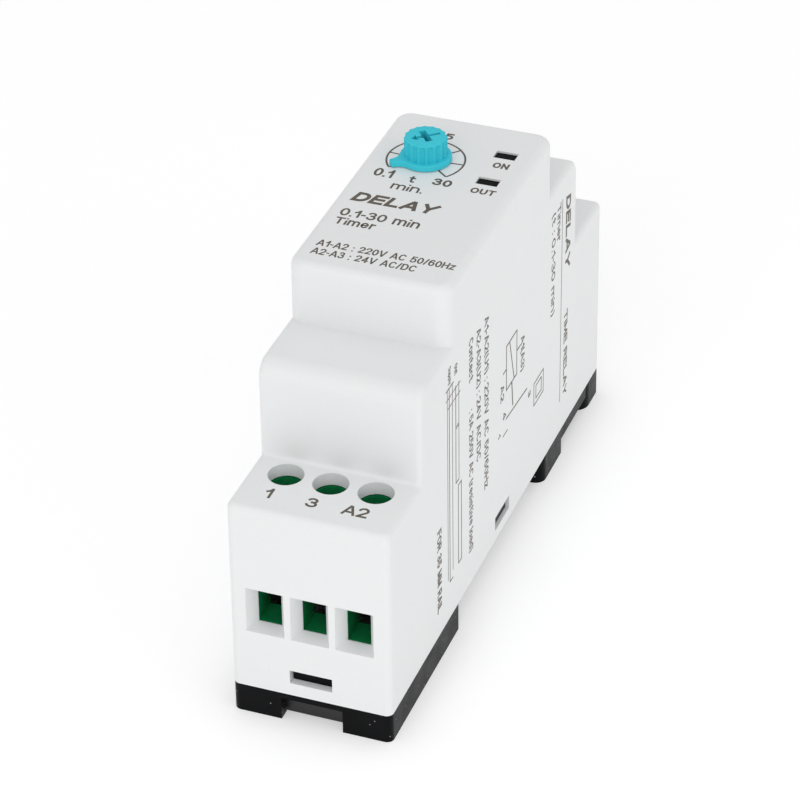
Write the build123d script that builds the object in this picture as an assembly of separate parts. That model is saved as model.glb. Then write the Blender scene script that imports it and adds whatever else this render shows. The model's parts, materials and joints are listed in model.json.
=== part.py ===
from build123d import *
import math
import os

os.makedirs("parts", exist_ok=True)

# A 22.5 mm wide DIN rail timer: stepped cover, rail base with a sprung latch, three screw clamps at
# each end, a time-setting knob on a potentiometer, and a relay on a circuit board.
# Frame: origin at the middle of the footprint on the surface under the feet, +Z the front face,
# +Y along the length, +X across the width. All sizes are in millimetres.

# ---- Driving dimensions: cover and base ----
WIDTH = 22.5
LENGTH = 89.0
SEAM = 4.4                  # height of the base below the cover's bottom edge
LOW_RISE = 28.9             # terminal step, shoulder and face, each above the seam
MID_RISE = 43.1
TOP_RISE = 52.2
MID_SETBACK = 11.9          # distance of each step's wall from the end of the cover, at the seam
TOP_SETBACK = 22.5
DRAFT = 0.010               # lean of the end walls per millimetre of height
SIDE_WALL = 1.5
END_WALL = 2.1
STEP_WALL = 1.6
LOW_ROOF = 1.3
TOP_ROOF = 1.6
CORNER_R = 1.0              # upright corners of the terminal step and the feet
TOP_CORNER_R = 2.3          # upright corners of the face
EDGE_R = 0.8                # top edges of the terminal step and sides of the shoulder
SHOULDER_R = 2.5            # rounded end of the shoulder
FACE_EDGE_R = 1.2
ROOT_R = 0.6                # hollow where the terminal step meets the shoulder's wall

# ---- Driving dimensions: terminals ----
PITCH = 6.25                # spacing of the three clamps across the width
CLAMP_D = 8.9               # distance of the clamp screws from the end
DRIVER_HOLE_R = 2.42        # hole in the cover above each screw
COLLAR_R = 2.95             # ring under the roof round each of these holes
COLLAR_LOW = 27.03
FUNNEL_WIDTH = 5.5          # wire entry: mouth and throat
FUNNEL_THROAT = 3.3
FUNNEL_BOTTOM = 9.1         # mouth, above the seam
THROAT_BOTTOM = 9.65
ENTRY_TOP = 16.05
SCREW_R = 1.45              # M3 clamp screw
SCREW_PITCH = 0.5
CAGE_TURNS = 5.5            # turns that lift a cage to its top position
RUNNING_GAP = 0.05

# ---- Driving dimensions: rail channel and latch ----
RAIL_NEAR = 26.5            # channel walls, from the near end
RAIL_FAR = 62.5
HOOK_END = 71.5
FAR_FOOT = 82.3
SHALLOW_DEPTH = 1.95
LATCH_HALF = 4.15           # half-widths of the latch's pull end and of its guided ears
EAR_HALF = 5.5
LATCH_START = 1.6           # pull end, set back in the notch
LATCH_TIP = 28.9
LATCH_TRAVEL = 3.0
SLIDE_GAP = 0.2

# ---- Driving dimensions: face ----
KNOB_X = -3.05
KNOB_D = 53.6
KNOB_R = 2.95
SKIRT_R = 3.55
POINTER_R = 5.1
POINTER_ANGLE = 220.0       # the pointer's rest direction, from +X towards +Y
FLUTES = 16
INDICATOR_X = 6.85
INDICATOR_D = {"on": 58.2, "out": 50.8}
WINDOW = (3.1, 1.9)

# ---- Driving dimensions: boards ----
BOARD_BACK = -9.0           # main board: X of its two faces
BOARD_FACE = -7.4
FRONT_BOARD_TOP = 45.0      # front board's upper face, above the seam
BOARD_T = 1.6
PIN_R = 0.4

CLAMP_X = [-PITCH, 0.0, PITCH]
ENDS = ("near", "far")
NODES = {}
BOARD_HOLES = []


def along(distance):
    """Y of a point at a distance from the near end."""
    return distance - LENGTH / 2


def block(x, y, z):
    """Box between two X values, two distances from the near end and two heights above the seam."""
    size = (x[1] - x[0], y[1] - y[0], z[1] - z[0])
    place = (x[0], along(y[0]), SEAM + z[0])
    return Pos(*place) * Box(*size, align=(Align.MIN, Align.MIN, Align.MIN))


def upright(radius, x, y, z):
    """Cylinder along Z between two heights above the seam."""
    solid = Cylinder(radius, z[1] - z[0], align=(Align.CENTER, Align.CENTER, Align.MIN))
    return Pos(x, along(y), SEAM + z[0]) * solid


def crosswise(radius, x, y, z):
    """Cylinder along X."""
    solid = Cylinder(radius, x[1] - x[0], align=(Align.CENTER, Align.CENTER, Align.MIN))
    return Pos(x[0], along(y), SEAM + z) * Rot(0, 90, 0) * solid


def lengthwise(radius, x, y, z):
    """Cylinder along Y."""
    solid = Cylinder(radius, y[1] - y[0], align=(Align.CENTER, Align.CENTER, Align.MIN))
    return Pos(x, along(y[0]), SEAM + z) * Rot(-90, 0, 0) * solid


def both_ends(shape):
    """The shape together with its mirror image at the far end."""
    return [shape, mirror(shape, about=Plane.XZ)]


def at_end(shape, end):
    """A shape drawn at the near end, moved by reflection when it belongs at the far end."""
    return shape if end == "near" else mirror(shape, about=Plane.XZ)


def board_pin(y, z, top=BOARD_FACE, radius=PIN_R):
    """Soldered lead through the main board; the board gets a hole for it."""
    BOARD_HOLES.append((y, z, radius + RUNNING_GAP))
    return crosswise(radius, (BOARD_BACK - 0.5, top), y, z)


# ---- Cover ----
def leaning_block(setback, rise, corner_r, end_r, edge_r):
    """One step of the cover, from the seam up, with leaning ends and rounded edges."""
    lean = DRAFT * rise
    low, high = along(setback), along(LENGTH - setback)
    top = SEAM + rise
    outline = Polyline((low, SEAM), (low + lean, top), (high - lean, top), (high, SEAM), close=True)
    solid = extrude(Plane.YZ * make_face(outline), WIDTH / 2, both=True)
    if end_r:
        ends = solid.faces().sort_by(Axis.Z)[-1].edges().filter_by(Axis.X)
        solid = fillet(ends, end_r)
        sides = [edge for face in solid.faces().filter_by(Axis.X) for edge in face.edges()]
        return fillet([edge for edge in sides if edge.center().Z > SEAM + 0.01], edge_r)
    corners = [edge for edge in solid.edges() if abs(edge.tangent_at(0).Z) > 0.9]
    solid = fillet(corners, corner_r)
    return fillet(solid.faces().sort_by(Axis.Z)[-1].edges(), edge_r)


def wire_funnel(x):
    """Wire entry: a mouth in the end wall that narrows to the throat, and the throat itself."""
    mouth, throat = FUNNEL_WIDTH / 2, FUNNEL_THROAT / 2
    outer = Polyline((x - mouth, FUNNEL_BOTTOM), (x + mouth, FUNNEL_BOTTOM), (x + mouth, ENTRY_TOP),
                     (x - mouth, ENTRY_TOP), close=True)
    inner = Polyline((x - throat, THROAT_BOTTOM), (x + throat, THROAT_BOTTOM), (x + throat, ENTRY_TOP),
                     (x - throat, ENTRY_TOP), close=True)
    start, end = along(-0.01), along(END_WALL - 0.15)
    front = Plane(origin=(0, start, SEAM), x_dir=(1, 0, 0), z_dir=(0, -1, 0))
    back = Plane(origin=(0, end, SEAM), x_dir=(1, 0, 0), z_dir=(0, -1, 0))
    mouth_solid = loft([front * make_face(outer), back * make_face(inner)])
    hole = block((x - throat, x + throat), (0.5, END_WALL + 0.5), (THROAT_BOTTOM, ENTRY_TOP))
    return mouth_solid + hole


def make_housing():
    low = leaning_block(0, LOW_RISE, CORNER_R, 0, EDGE_R)
    mid = leaning_block(MID_SETBACK, MID_RISE, 0, SHOULDER_R, EDGE_R)
    top = leaning_block(TOP_SETBACK, TOP_RISE, TOP_CORNER_R, 0, FACE_EDGE_R)
    shell = low + mid + top
    roots = [edge for edge in shell.edges().filter_by(Axis.X)
             if abs(edge.center().Z - SEAM - LOW_RISE) < 0.01 and abs(edge.center().Y) < along(LENGTH - 3)]
    shell = fillet(roots, ROOT_R)
    inner = WIDTH / 2 - SIDE_WALL
    steps = ((END_WALL, LOW_RISE - LOW_ROOF),
             (MID_SETBACK + DRAFT * MID_RISE + STEP_WALL, MID_RISE - SIDE_WALL),
             (TOP_SETBACK + DRAFT * TOP_RISE + STEP_WALL, TOP_RISE - TOP_ROOF))
    for setback, roof in steps:
        shell -= block((-inner, inner), (setback, LENGTH - setback), (-1, roof))
    for x in CLAMP_X:
        for collar in both_ends(upright(COLLAR_R, x, CLAMP_D, (COLLAR_LOW, LOW_RISE - LOW_ROOF / 2))):
            shell += collar
        for cut in both_ends(upright(DRIVER_HOLE_R, x, CLAMP_D, (COLLAR_LOW - 1, LOW_RISE + 1))):
            shell -= cut
        for cut in both_ends(wire_funnel(x)):
            shell -= cut
    for cut in both_ends(block((-3.0, 3.0), (-1, END_WALL + 0.5), (1.95, 4.05))):
        shell -= cut
    middle = LENGTH / 2
    shell -= block((-WIDTH, WIDTH), (middle - 3.0, middle + 3.0), (1.7, 3.85))
    shell -= upright(2.9, KNOB_X, KNOB_D, (TOP_RISE - 3, TOP_RISE + 1))
    for distance in INDICATOR_D.values():
        shell -= block((INDICATOR_X - WINDOW[0] / 2, INDICATOR_X + WINDOW[0] / 2),
                       (distance - WINDOW[1] / 2, distance + WINDOW[1] / 2),
                       (TOP_RISE - 3, TOP_RISE + 1))
    return shell


NODES["housing"] = make_housing()


# ---- Rail base, latch and spring ----
def foot(y, z, near_r, far_r):
    """Block as wide as the cover, with its own corner radius at each end."""
    solid = block((-WIDTH / 2, WIDTH / 2), y, z)
    corners = solid.edges().filter_by(Axis.Z).sort_by(Axis.Y)
    solid = fillet(corners[:2], near_r)
    corners = solid.edges().filter_by(Axis.Z).sort_by(Axis.Y)
    return fillet(corners[-2:], far_r)


LATCH_LOW, EAR_LOW, EAR_HIGH = -4.1, -2.55, -1.1
POST = (9.5, 10.7)          # spring post of the base, in the window of the latch
SPRING_END = 19.0


def make_base():
    inner = WIDTH / 2 - SIDE_WALL - 0.15
    base = block((-inner, inner), (END_WALL + 0.15, LENGTH - END_WALL - 0.15), (0, 1.5))
    base += foot((0, RAIL_NEAR), (-SEAM, 0), CORNER_R, 0.4)
    base += foot((RAIL_FAR, HOOK_END), (-SEAM, 0), 1.6, 0.4)
    base += block((-WIDTH / 2, WIDTH / 2), (HOOK_END - 0.5, FAR_FOOT + 0.5), (-SHALLOW_DEPTH, 0))
    base += foot((FAR_FOOT, LENGTH), (-SEAM, 0), 2.2, CORNER_R)
    base += block((-7, 7), (RAIL_FAR - 1.3, RAIL_FAR + 1), (-2.4, -1.2))
    slot = LATCH_HALF + SLIDE_GAP
    ears = EAR_HALF + SLIDE_GAP
    base -= block((-slot, slot), (-1, RAIL_NEAR + 1), (-SEAM - 1, EAR_HIGH + SLIDE_GAP))
    base -= block((-ears, ears), (3.2, RAIL_NEAR + 1), (EAR_LOW - SLIDE_GAP, EAR_HIGH + SLIDE_GAP))
    base += block((-2, 2), POST, (-3.6, EAR_HIGH + SLIDE_GAP + 0.2))
    for tab in both_ends(block((-2.8, 2.8), (1.0, 3.3), (2.05, 3.85))
                         + block((-2.8, 2.8), (END_WALL + 0.15, 3.3), (1.4, 3.85))):
        base += tab
    middle = LENGTH / 2
    for side in (-1, 1):
        nose = sorted((side * 8.6, side * (WIDTH / 2 - 0.8)))
        stem = sorted((side * 8.6, side * inner))
        base += block(nose, (middle - 2.8, middle + 2.8), (1.8, 3.65))
        base += block(stem, (middle - 2.8, middle + 2.8), (1.4, 3.65))
    for distance in (20.0, 66.0):
        clip = block((-inner, -6.6), (distance, distance + 3), (1.4, 4.2))
        base += clip - block((BOARD_BACK - 0.1, BOARD_FACE + 0.1), (distance - 1, distance + 4), (1.9, 5))
    return base


def make_latch():
    latch = block((-LATCH_HALF, LATCH_HALF), (LATCH_START, LATCH_TIP - 4), (LATCH_LOW, EAR_HIGH))
    latch += block((-EAR_HALF, EAR_HALF), (3.2 + LATCH_TRAVEL + 0.3, LATCH_TIP - 4), (EAR_LOW, EAR_HIGH))
    nose = Polyline((along(LATCH_TIP - 4), SEAM + EAR_HIGH), (along(LATCH_TIP), SEAM + EAR_HIGH),
                    (along(LATCH_TIP), SEAM - 1.9), (along(LATCH_TIP - 2.2), SEAM + LATCH_LOW),
                    (along(LATCH_TIP - 4), SEAM + LATCH_LOW), close=True)
    latch += extrude(Plane.YZ * make_face(nose), LATCH_HALF, both=True)
    latch -= block((-2.3, 2.3), (POST[0] - 0.1, SPRING_END), (LATCH_LOW - 1, EAR_HIGH + 1))
    latch -= block((-2.0, 2.0), (LATCH_START + 1.2, LATCH_START + 3.0), (LATCH_LOW - 1, LATCH_LOW + 1.6))
    return latch


def make_spring():
    length = SPRING_END - POST[1] - 0.4
    turns = 8
    radius, wire = 1.0, 0.17
    path = Helix(pitch=length / turns, height=length, radius=radius)
    section = Plane(path @ 0, z_dir=path % 0) * Circle(wire)
    coil = sweep(section, path=path)
    return Pos(0, along(POST[1] + 0.2), SEAM - 2.35) * Rot(-90, 0, 0) * coil


NODES["base"] = make_base()
NODES["rail_latch"] = make_latch()
NODES["latch_spring"] = make_spring()


# ---- Terminals ----
BLOCK_Y = (END_WALL + 0.15, 13.0)
BLOCK_Z = (7.3, 26.8)
TONGUE_HALF = 1.1
TONGUE_Z = (14.3, 15.1)
CAGE_Y = (6.4, 11.4)
CAGE_Z = (8.6, 17.0)
CHAMBER_HALF = 2.5
CHAMBER_Y = (6.1, 13.1)
CHAMBER_Z = (8.3, CAGE_Z[1] + CAGE_TURNS * SCREW_PITCH + 0.15)
SHELF_TOP = 21.1
TAIL_Y = 13.2
TAIL_HEIGHTS = [14.3, 17.2, 20.2]


def make_terminal_block():
    body = block((-9.4, 9.4), BLOCK_Y, BLOCK_Z)
    for x in CLAMP_X:
        body -= block((x - CHAMBER_HALF, x + CHAMBER_HALF), CHAMBER_Y, CHAMBER_Z)
        body -= block((x - 1.65, x + 1.65), (0, CHAMBER_Y[0] + 1), (THROAT_BOTTOM, 15.6))
        body -= upright(2.3, x, CLAMP_D, (SHELF_TOP, BLOCK_Z[1] + 1))
        body -= upright(SCREW_R + 0.1, x, CLAMP_D, (CHAMBER_Z[1] - 1, SHELF_TOP + 1))
    return body


def make_screw(x):
    """Captive clamp screw with a slotted head; its tip stands just above the contact tongue."""
    head = upright(2.1, x, CLAMP_D, (SHELF_TOP + RUNNING_GAP, SHELF_TOP + 1.85))
    head = chamfer(head.faces().sort_by(Axis.Z)[-1].edges(), 0.25)
    shank = upright(SCREW_R, x, CLAMP_D, (TONGUE_Z[1] + RUNNING_GAP, SHELF_TOP + 0.5))
    slot = block((x - 0.35, x + 0.35), (CLAMP_D - 3, CLAMP_D + 3), (SHELF_TOP + 0.95, SHELF_TOP + 3))
    return head + shank - slot


def make_cage(x):
    """Rising cage: a square loop, threaded in its top wall, that lifts the wire to the tongue."""
    loop = block((x - 2.3, x + 2.3), CAGE_Y, CAGE_Z)
    loop -= block((x - 1.7, x + 1.7), (5, 12), (CAGE_Z[0] + 1.0, CAGE_Z[1] - 1.4))
    return loop - upright(SCREW_R + RUNNING_GAP, x, CLAMP_D, (CAGE_Z[1] - 3, CAGE_Z[1] + 1))


def make_contact(x, height):
    """Fixed tongue through the cage, with a tail behind the block that ends in a lead of the board."""
    sides = (x - TONGUE_HALF, x + TONGUE_HALF)
    tongue = block(sides, (6.5, TAIL_Y + 0.8), TONGUE_Z)
    riser = block(sides, (TAIL_Y, TAIL_Y + 0.8), (TONGUE_Z[0], height + 1.6))
    tab_x = BOARD_FACE + 0.05
    strip = block((tab_x, sides[1]), (TAIL_Y, TAIL_Y + 0.8), (height, height + 1.6))
    tab = block((tab_x, tab_x + 0.8), (TAIL_Y, TAIL_Y + 2.6), (height, height + 1.6))
    lead = crosswise(PIN_R, (BOARD_BACK - 0.5, tab_x + 0.4), TAIL_Y + 1.8, height + 0.8)
    return tongue + riser + strip + tab + lead


for end in ENDS:
    NODES[f"terminal_block_{end}"] = at_end(make_terminal_block(), end)
    for index, x in enumerate(CLAMP_X):
        number = index + 1 + 3 * ENDS.index(end)
        NODES[f"terminal_screw_{number}"] = at_end(make_screw(x), end)
        NODES[f"clamp_cage_{number}"] = at_end(make_cage(x), end)
        NODES[f"contact_{number}"] = at_end(make_contact(x, TAIL_HEIGHTS[index]), end)
for height in TAIL_HEIGHTS:
    for distance in (TAIL_Y + 1.8, LENGTH - TAIL_Y - 1.8):
        BOARD_HOLES.append((distance, height + 0.8, PIN_R + RUNNING_GAP))

# ---- Knob and potentiometer ----
KNOB_LOW = TOP_RISE + 0.15
KNOB_TOP = TOP_RISE + 3.7
SHAFT_R = 1.5
SHAFT_TOP = TOP_RISE + 2.0


def polar(radius, angle):
    turn = math.radians(angle)
    return KNOB_X + radius * math.cos(turn), along(KNOB_D) + radius * math.sin(turn)


def knob_arm(angle, width, reach):
    """One straight arm of the recess in the knob's top."""
    arm = Pos(0, 0, 0) * Box(reach, width, 3, align=(Align.MIN, Align.CENTER, Align.MIN))
    return Pos(KNOB_X, along(KNOB_D), SEAM + KNOB_TOP - 1.0) * Rot(0, 0, angle) * arm


def make_knob():
    boss = upright(2.6, KNOB_X, KNOB_D, (TOP_RISE - 1.8, KNOB_LOW + 0.2))
    skirt = upright(SKIRT_R, KNOB_X, KNOB_D, (KNOB_LOW, KNOB_LOW + 0.75))
    grip = upright(KNOB_R, KNOB_X, KNOB_D, (KNOB_LOW + 0.5, KNOB_TOP))
    grip = chamfer(grip.faces().sort_by(Axis.Z)[-1].edges(), 0.2)
    left, tip_left = polar(3.5, POINTER_ANGLE + 26), polar(POINTER_R, POINTER_ANGLE + 6)
    right, tip_right = polar(3.5, POINTER_ANGLE - 26), polar(POINTER_R, POINTER_ANGLE - 6)
    outline = Polyline(left, tip_left, tip_right, right, (KNOB_X, along(KNOB_D)), close=True)
    pointer = extrude(Plane.XY.offset(SEAM + KNOB_LOW) * make_face(outline), 0.75)
    knob = boss + skirt + grip + pointer
    for index in range(FLUTES):
        x, y = polar(KNOB_R + 0.42, (index + 0.5) * 360 / FLUTES)
        groove = Cylinder(0.6, 10, align=(Align.CENTER, Align.CENTER, Align.MIN))
        knob -= Pos(x, y, SEAM + KNOB_LOW + 0.85) * groove
    for angle, width, reach in ((0, 1.1, 1.7), (90, 0.95, 1.5), (180, 0.5, 2.1), (270, 0.95, 1.5)):
        knob -= knob_arm(POINTER_ANGLE + angle, width, reach)
    return knob - upright(SHAFT_R + 0.02, KNOB_X, KNOB_D, (TOP_RISE - 3, SHAFT_TOP + 0.1))


POT_LOW = FRONT_BOARD_TOP
TRACK_Z = POT_LOW + 1.05


def make_pot():
    half = 4.8
    y = (KNOB_D - half, KNOB_D + half)
    x = (KNOB_X - half, KNOB_X + half)
    cover = block(x, y, (POT_LOW + 1.0, POT_LOW + 4.4))
    cover -= upright(4.2, KNOB_X, KNOB_D, (POT_LOW, POT_LOW + 3.6))
    cover -= upright(SHAFT_R + RUNNING_GAP, KNOB_X, KNOB_D, (POT_LOW, POT_LOW + 6))
    foot_plate = block(x, y, (POT_LOW, POT_LOW + 1.0))
    for shift in (-2.5, 0.0, 2.5):
        foot_plate += upright(PIN_R, KNOB_X + shift, KNOB_D - 3, (POT_LOW - 2.2, POT_LOW + 0.5))
    ring = upright(3.8, KNOB_X, KNOB_D, (TRACK_Z, TRACK_Z + 0.2))
    ring -= upright(2.6, KNOB_X, KNOB_D, (TRACK_Z - 1, TRACK_Z + 1))
    ring -= block((KNOB_X - 1.6, KNOB_X + 1.6), (KNOB_D - 5, KNOB_D), (TRACK_Z - 1, TRACK_Z + 1))
    disc = upright(3.9, KNOB_X, KNOB_D, (POT_LOW + 2.2, POT_LOW + 3.4))
    shaft = upright(SHAFT_R, KNOB_X, KNOB_D, (POT_LOW + 3.0, SHAFT_TOP))
    wiper = upright(1.6, KNOB_X, KNOB_D, (POT_LOW + 1.9, POT_LOW + 2.15))
    x_tip, y_tip = polar(3.2, POINTER_ANGLE)
    arm = Pos(KNOB_X, along(KNOB_D), SEAM + POT_LOW + 1.9) * Rot(0, 0, POINTER_ANGLE)
    wiper += arm * Box(3.6, 0.9, 0.25, align=(Align.MIN, Align.CENTER, Align.MIN))
    contact_low = SEAM + TRACK_Z + 0.25
    dimple = Cylinder(0.35, SEAM + POT_LOW + 2.0 - contact_low, align=(Align.CENTER, Align.CENTER, Align.MIN))
    wiper += Pos(x_tip, y_tip, contact_low) * dimple
    return {"pot_cover": cover, "pot_base": foot_plate, "pot_track": ring,
            "pot_rotor": disc + shaft, "pot_wiper": wiper}


NODES["time_knob"] = make_knob()
NODES.update(make_pot())


# ---- Indicators ----
def make_lens(distance):
    """Window of an indicator, with a collar that stays under the cover's roof."""
    pane = (WINDOW[0] / 2 - 0.08, WINDOW[1] / 2 - 0.08)
    low = FRONT_BOARD_TOP + 1.8
    stem = block((INDICATOR_X - pane[0], INDICATOR_X + pane[0]),
                 (distance - pane[1], distance + pane[1]), (low, TOP_RISE - 0.25))
    collar = block((INDICATOR_X - 2.0, INDICATOR_X + 2.0), (distance - 1.4, distance + 1.4),
                   (TOP_RISE - TOP_ROOF - 0.8, TOP_RISE - TOP_ROOF - 0.05))
    return stem + collar


def make_led(distance):
    chip = block((INDICATOR_X - 1.6, INDICATOR_X + 1.6), (distance - 0.8, distance + 0.8),
                 (FRONT_BOARD_TOP, FRONT_BOARD_TOP + 0.9))
    dome = block((INDICATOR_X - 1.0, INDICATOR_X + 1.0), (distance - 0.65, distance + 0.65),
                 (FRONT_BOARD_TOP + 0.5, FRONT_BOARD_TOP + 1.4))
    return chip + fillet(dome.faces().sort_by(Axis.Z)[-1].edges(), 0.3)


for name, distance in INDICATOR_D.items():
    NODES[f"lens_{name}"] = make_lens(distance)
    NODES[f"led_{name}"] = make_led(distance)

# ---- Relay ----
RELAY_Y = (30.0, 58.5)
RELAY_Z = (6.0, 18.5)
RELAY_TOP = 8.3
RELAY_MID_Z = 12.25
CORE_X = 0.0
PIVOT = (5.6, 49.7)         # X and distance of the armature's pivot edge
ARMATURE_SWING = 6.0


def make_relay():
    cover = block((BOARD_FACE + 0.3, RELAY_TOP), RELAY_Y, RELAY_Z)
    cover -= block((BOARD_FACE - 1, RELAY_TOP - 0.8), (RELAY_Y[0] + 0.8, RELAY_Y[1] - 0.8),
                   (RELAY_Z[0] + 0.8, RELAY_Z[1] - 0.8))
    plate = block((BOARD_FACE + 0.05, BOARD_FACE + 1.5), (RELAY_Y[0] + 0.9, RELAY_Y[1] - 0.9),
                  (RELAY_Z[0] + 0.9, RELAY_Z[1] - 0.9))
    core = lengthwise(1.6, CORE_X, (31.0, 48.0), RELAY_MID_Z)
    core += lengthwise(3.0, CORE_X, (47.7, 48.7), RELAY_MID_Z)
    bobbin = block((-4.2, 4.2), (33.2, 34.2), (8.2, 16.3)) + block((-4.2, 4.2), (46.4, 47.4), (8.2, 16.3))
    bobbin += lengthwise(2.3, CORE_X, (33.5, 47.0), RELAY_MID_Z)
    for z in (9.5, 15.0):
        bobbin += board_pin(33.7, z, top=-4.0)
    bobbin -= lengthwise(1.65, CORE_X, (30, 50), RELAY_MID_Z)
    winding = lengthwise(3.9, CORE_X, (34.3, 46.3), RELAY_MID_Z)
    winding -= lengthwise(2.35, CORE_X, (30, 50), RELAY_MID_Z)
    yoke = block((5.0, 6.2), (31.2, 49.6), (8.6, 15.9)) + block((-2.6, 6.2), (31.2, 32.4), (8.6, 15.9))
    yoke -= lengthwise(1.65, CORE_X, (30, 50), RELAY_MID_Z)
    armature = block((-3.6, 6.4), (PIVOT[1], PIVOT[1] + 1.0), (8.6, 15.9))
    leaf = block((-5.2, 5.0), (PIVOT[1] + 1.02, PIVOT[1] + 1.22), (11.0, 13.5))
    leaf += lengthwise(0.9, -4.3, (PIVOT[1] + 0.5, PIVOT[1] + 2.3), RELAY_MID_Z)
    armature -= lengthwise(1.0, -4.3, (PIVOT[1] - 1, PIVOT[1] + 3), RELAY_MID_Z)
    closed = lengthwise(0.9, -4.3, (PIVOT[1] + 2.36, PIVOT[1] + 3.3), RELAY_MID_Z)
    closed += block((-5.7, -3.5), (PIVOT[1] + 3.2, PIVOT[1] + 3.9), (11.0, 13.5))
    closed += board_pin(PIVOT[1] + 3.55, RELAY_MID_Z, top=-5.5, radius=0.3)
    opened = lengthwise(0.9, -4.3, (48.3, 49.05), RELAY_MID_Z)
    opened += block((-5.7, -3.5), (47.7, 48.4), (11.0, 13.5)) - lengthwise(3.1, CORE_X, (47, 50), RELAY_MID_Z)
    opened += board_pin(48.05, RELAY_MID_Z, top=-5.5, radius=0.3)
    for y, z, radius in ((33.7, 9.5, PIN_R), (33.7, 15.0, PIN_R),
                         (PIVOT[1] + 3.55, RELAY_MID_Z, 0.3), (48.05, RELAY_MID_Z, 0.3)):
        plate -= crosswise(radius + RUNNING_GAP, (-9, 0), y, z)
    return {"relay_cover": cover, "relay_base": plate, "relay_core": core, "relay_bobbin": bobbin,
            "relay_winding": winding, "relay_yoke": yoke, "relay_armature": armature,
            "relay_contact_leaf": leaf, "relay_contact_closed": closed, "relay_contact_open": opened}


NODES.update(make_relay())


# ---- Components of the main board ----
def can(radius, length, y, z):
    """Electrolytic capacitor standing on the board, with a rolled groove near its leads."""
    low = BOARD_FACE + 0.1
    solid = crosswise(radius, (low, low + length), y, z)
    solid = fillet(solid.faces().sort_by(Axis.X)[-1].edges(), 0.5)
    groove = crosswise(radius + 1, (low + 1.2, low + 1.7), y, z) - crosswise(radius - 0.3, (-9, 9), y, z)
    solid -= groove
    for shift in (-radius / 2, radius / 2):
        solid += board_pin(y + shift, z, top=low + 0.5, radius=0.3)
    return solid


def axial(radius, length, y, z, lift=0.2):
    """Component with a lead at each end, bent down into the board."""
    x = BOARD_FACE + radius + lift
    solid = lengthwise(radius, x, (y, y + length), z)
    solid += lengthwise(0.3, x, (y - 1.2, y + length + 1.2), z)
    for lead in (y - 1.2, y + length + 1.2):
        solid += board_pin(lead, z, top=x + 0.3, radius=0.3)
    return solid


def make_components():
    face = BOARD_FACE + 0.1
    film = block((face, 3.7), (33.5, 51.5), (21.0, 28.0))
    for distance in (35.0, 50.0):
        film += board_pin(distance, 24.5, top=face + 0.5)
    disc = lengthwise(5.0, -1.7, (61.5, 65.3), 27.5)
    for shift in (-2.5, 2.5):
        disc += board_pin(63.4, 27.5 + shift, top=-5.0)
    bridge = block((face, face + 3.2), (60.0, 68.5), (34.0, 40.0))
    chip = block((BOARD_FACE + 0.5, BOARD_FACE + 3.9), (34.0, 43.8), (30.3, 36.6))
    for distance in (61.0, 67.5):
        for z in (35.0, 39.0):
            bridge += board_pin(distance, z, top=face + 0.5)
    for index in range(4):
        for z in (29.7, 37.2):
            distance = 35.1 + 2.54 * index
            chip += board_pin(distance, z, top=BOARD_FACE + 2.0, radius=0.25)
            chip += block((BOARD_FACE + 1.7, BOARD_FACE + 2.1), (distance - 0.4, distance + 0.4),
                          sorted((z, 33.4)))
    transistor = upright(2.3, -3.9, 55.5, (22.0, 26.6)) - block((-7, 0), (56.9, 60), (20, 30))
    for z in (23.0, 24.3, 25.6):
        transistor += board_pin(55.5, z, top=-5.0, radius=0.25)
    resistors = [axial(1.15, 6.3, 19.5, z) for z in (6.0, 9.5, 13.0, 16.5)]
    diodes = [axial(1.35, 5.2, 62.5, z) for z in (8.0, 12.0, 16.0)]
    return {"filter_capacitor": can(5.0, 16.0, 23.5, 31.5), "timing_capacitor": can(2.5, 7.0, 57.0, 33.0),
            "dropper_capacitor": film, "varistor": disc, "bridge_rectifier": bridge, "timer_chip": chip,
            "driver_transistor": transistor, "fuse_resistor": axial(2.0, 9.0, 18.0, 23.0),
            "resistors": Compound(children=resistors), "diodes": Compound(children=diodes)}


NODES.update(make_components())


# ---- Boards ----
HEADER_X = -6.1
HEADER_START = 36.4
HEADER_Y = [HEADER_START + 2.54 * index for index in range(5)]


def make_header():
    ends = (HEADER_Y[0] - 1.27, HEADER_Y[-1] + 1.27)
    body = block((BOARD_FACE + 0.05, -4.85), ends, (38.5, 41.0))
    for distance in HEADER_Y:
        body += upright(0.32, HEADER_X, distance, (37.9, FRONT_BOARD_TOP + 0.8))
        body += board_pin(distance, 38.2, top=HEADER_X, radius=0.32)
    return body


def make_front_board():
    board = block((-9.3, 9.3), (25.2, 63.8), (FRONT_BOARD_TOP - BOARD_T, FRONT_BOARD_TOP))
    for distance in HEADER_Y:
        board -= upright(0.37, HEADER_X, distance, (40, 48))
    for shift in (-2.5, 0.0, 2.5):
        board -= upright(PIN_R + RUNNING_GAP, KNOB_X + shift, KNOB_D - 3, (40, 48))
    return board


def make_main_board():
    board = block((BOARD_BACK, BOARD_FACE), (TAIL_Y, LENGTH - TAIL_Y), (2.0, 27.0))
    board += block((BOARD_BACK, BOARD_FACE), (14.4, LENGTH - 14.4), (2.0, 40.8))
    board -= block((-12, -6), (LENGTH / 2 - 3.2, LENGTH / 2 + 3.2), (1.0, 4.2))
    for distance, z, radius in BOARD_HOLES:
        board -= crosswise(radius, (BOARD_BACK - 1, BOARD_FACE + 1), distance, z)
    return board


NODES["board_header"] = make_header()
NODES["front_board"] = make_front_board()
NODES["main_board"] = make_main_board()

for name, shape in NODES.items():
    export_step(shape, f"parts/{name}.step")
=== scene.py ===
import json
import math

import bmesh
import bpy
from bpy.props import FloatProperty, FloatVectorProperty, IntProperty, PointerProperty
from mathutils import Matrix, Vector


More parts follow.
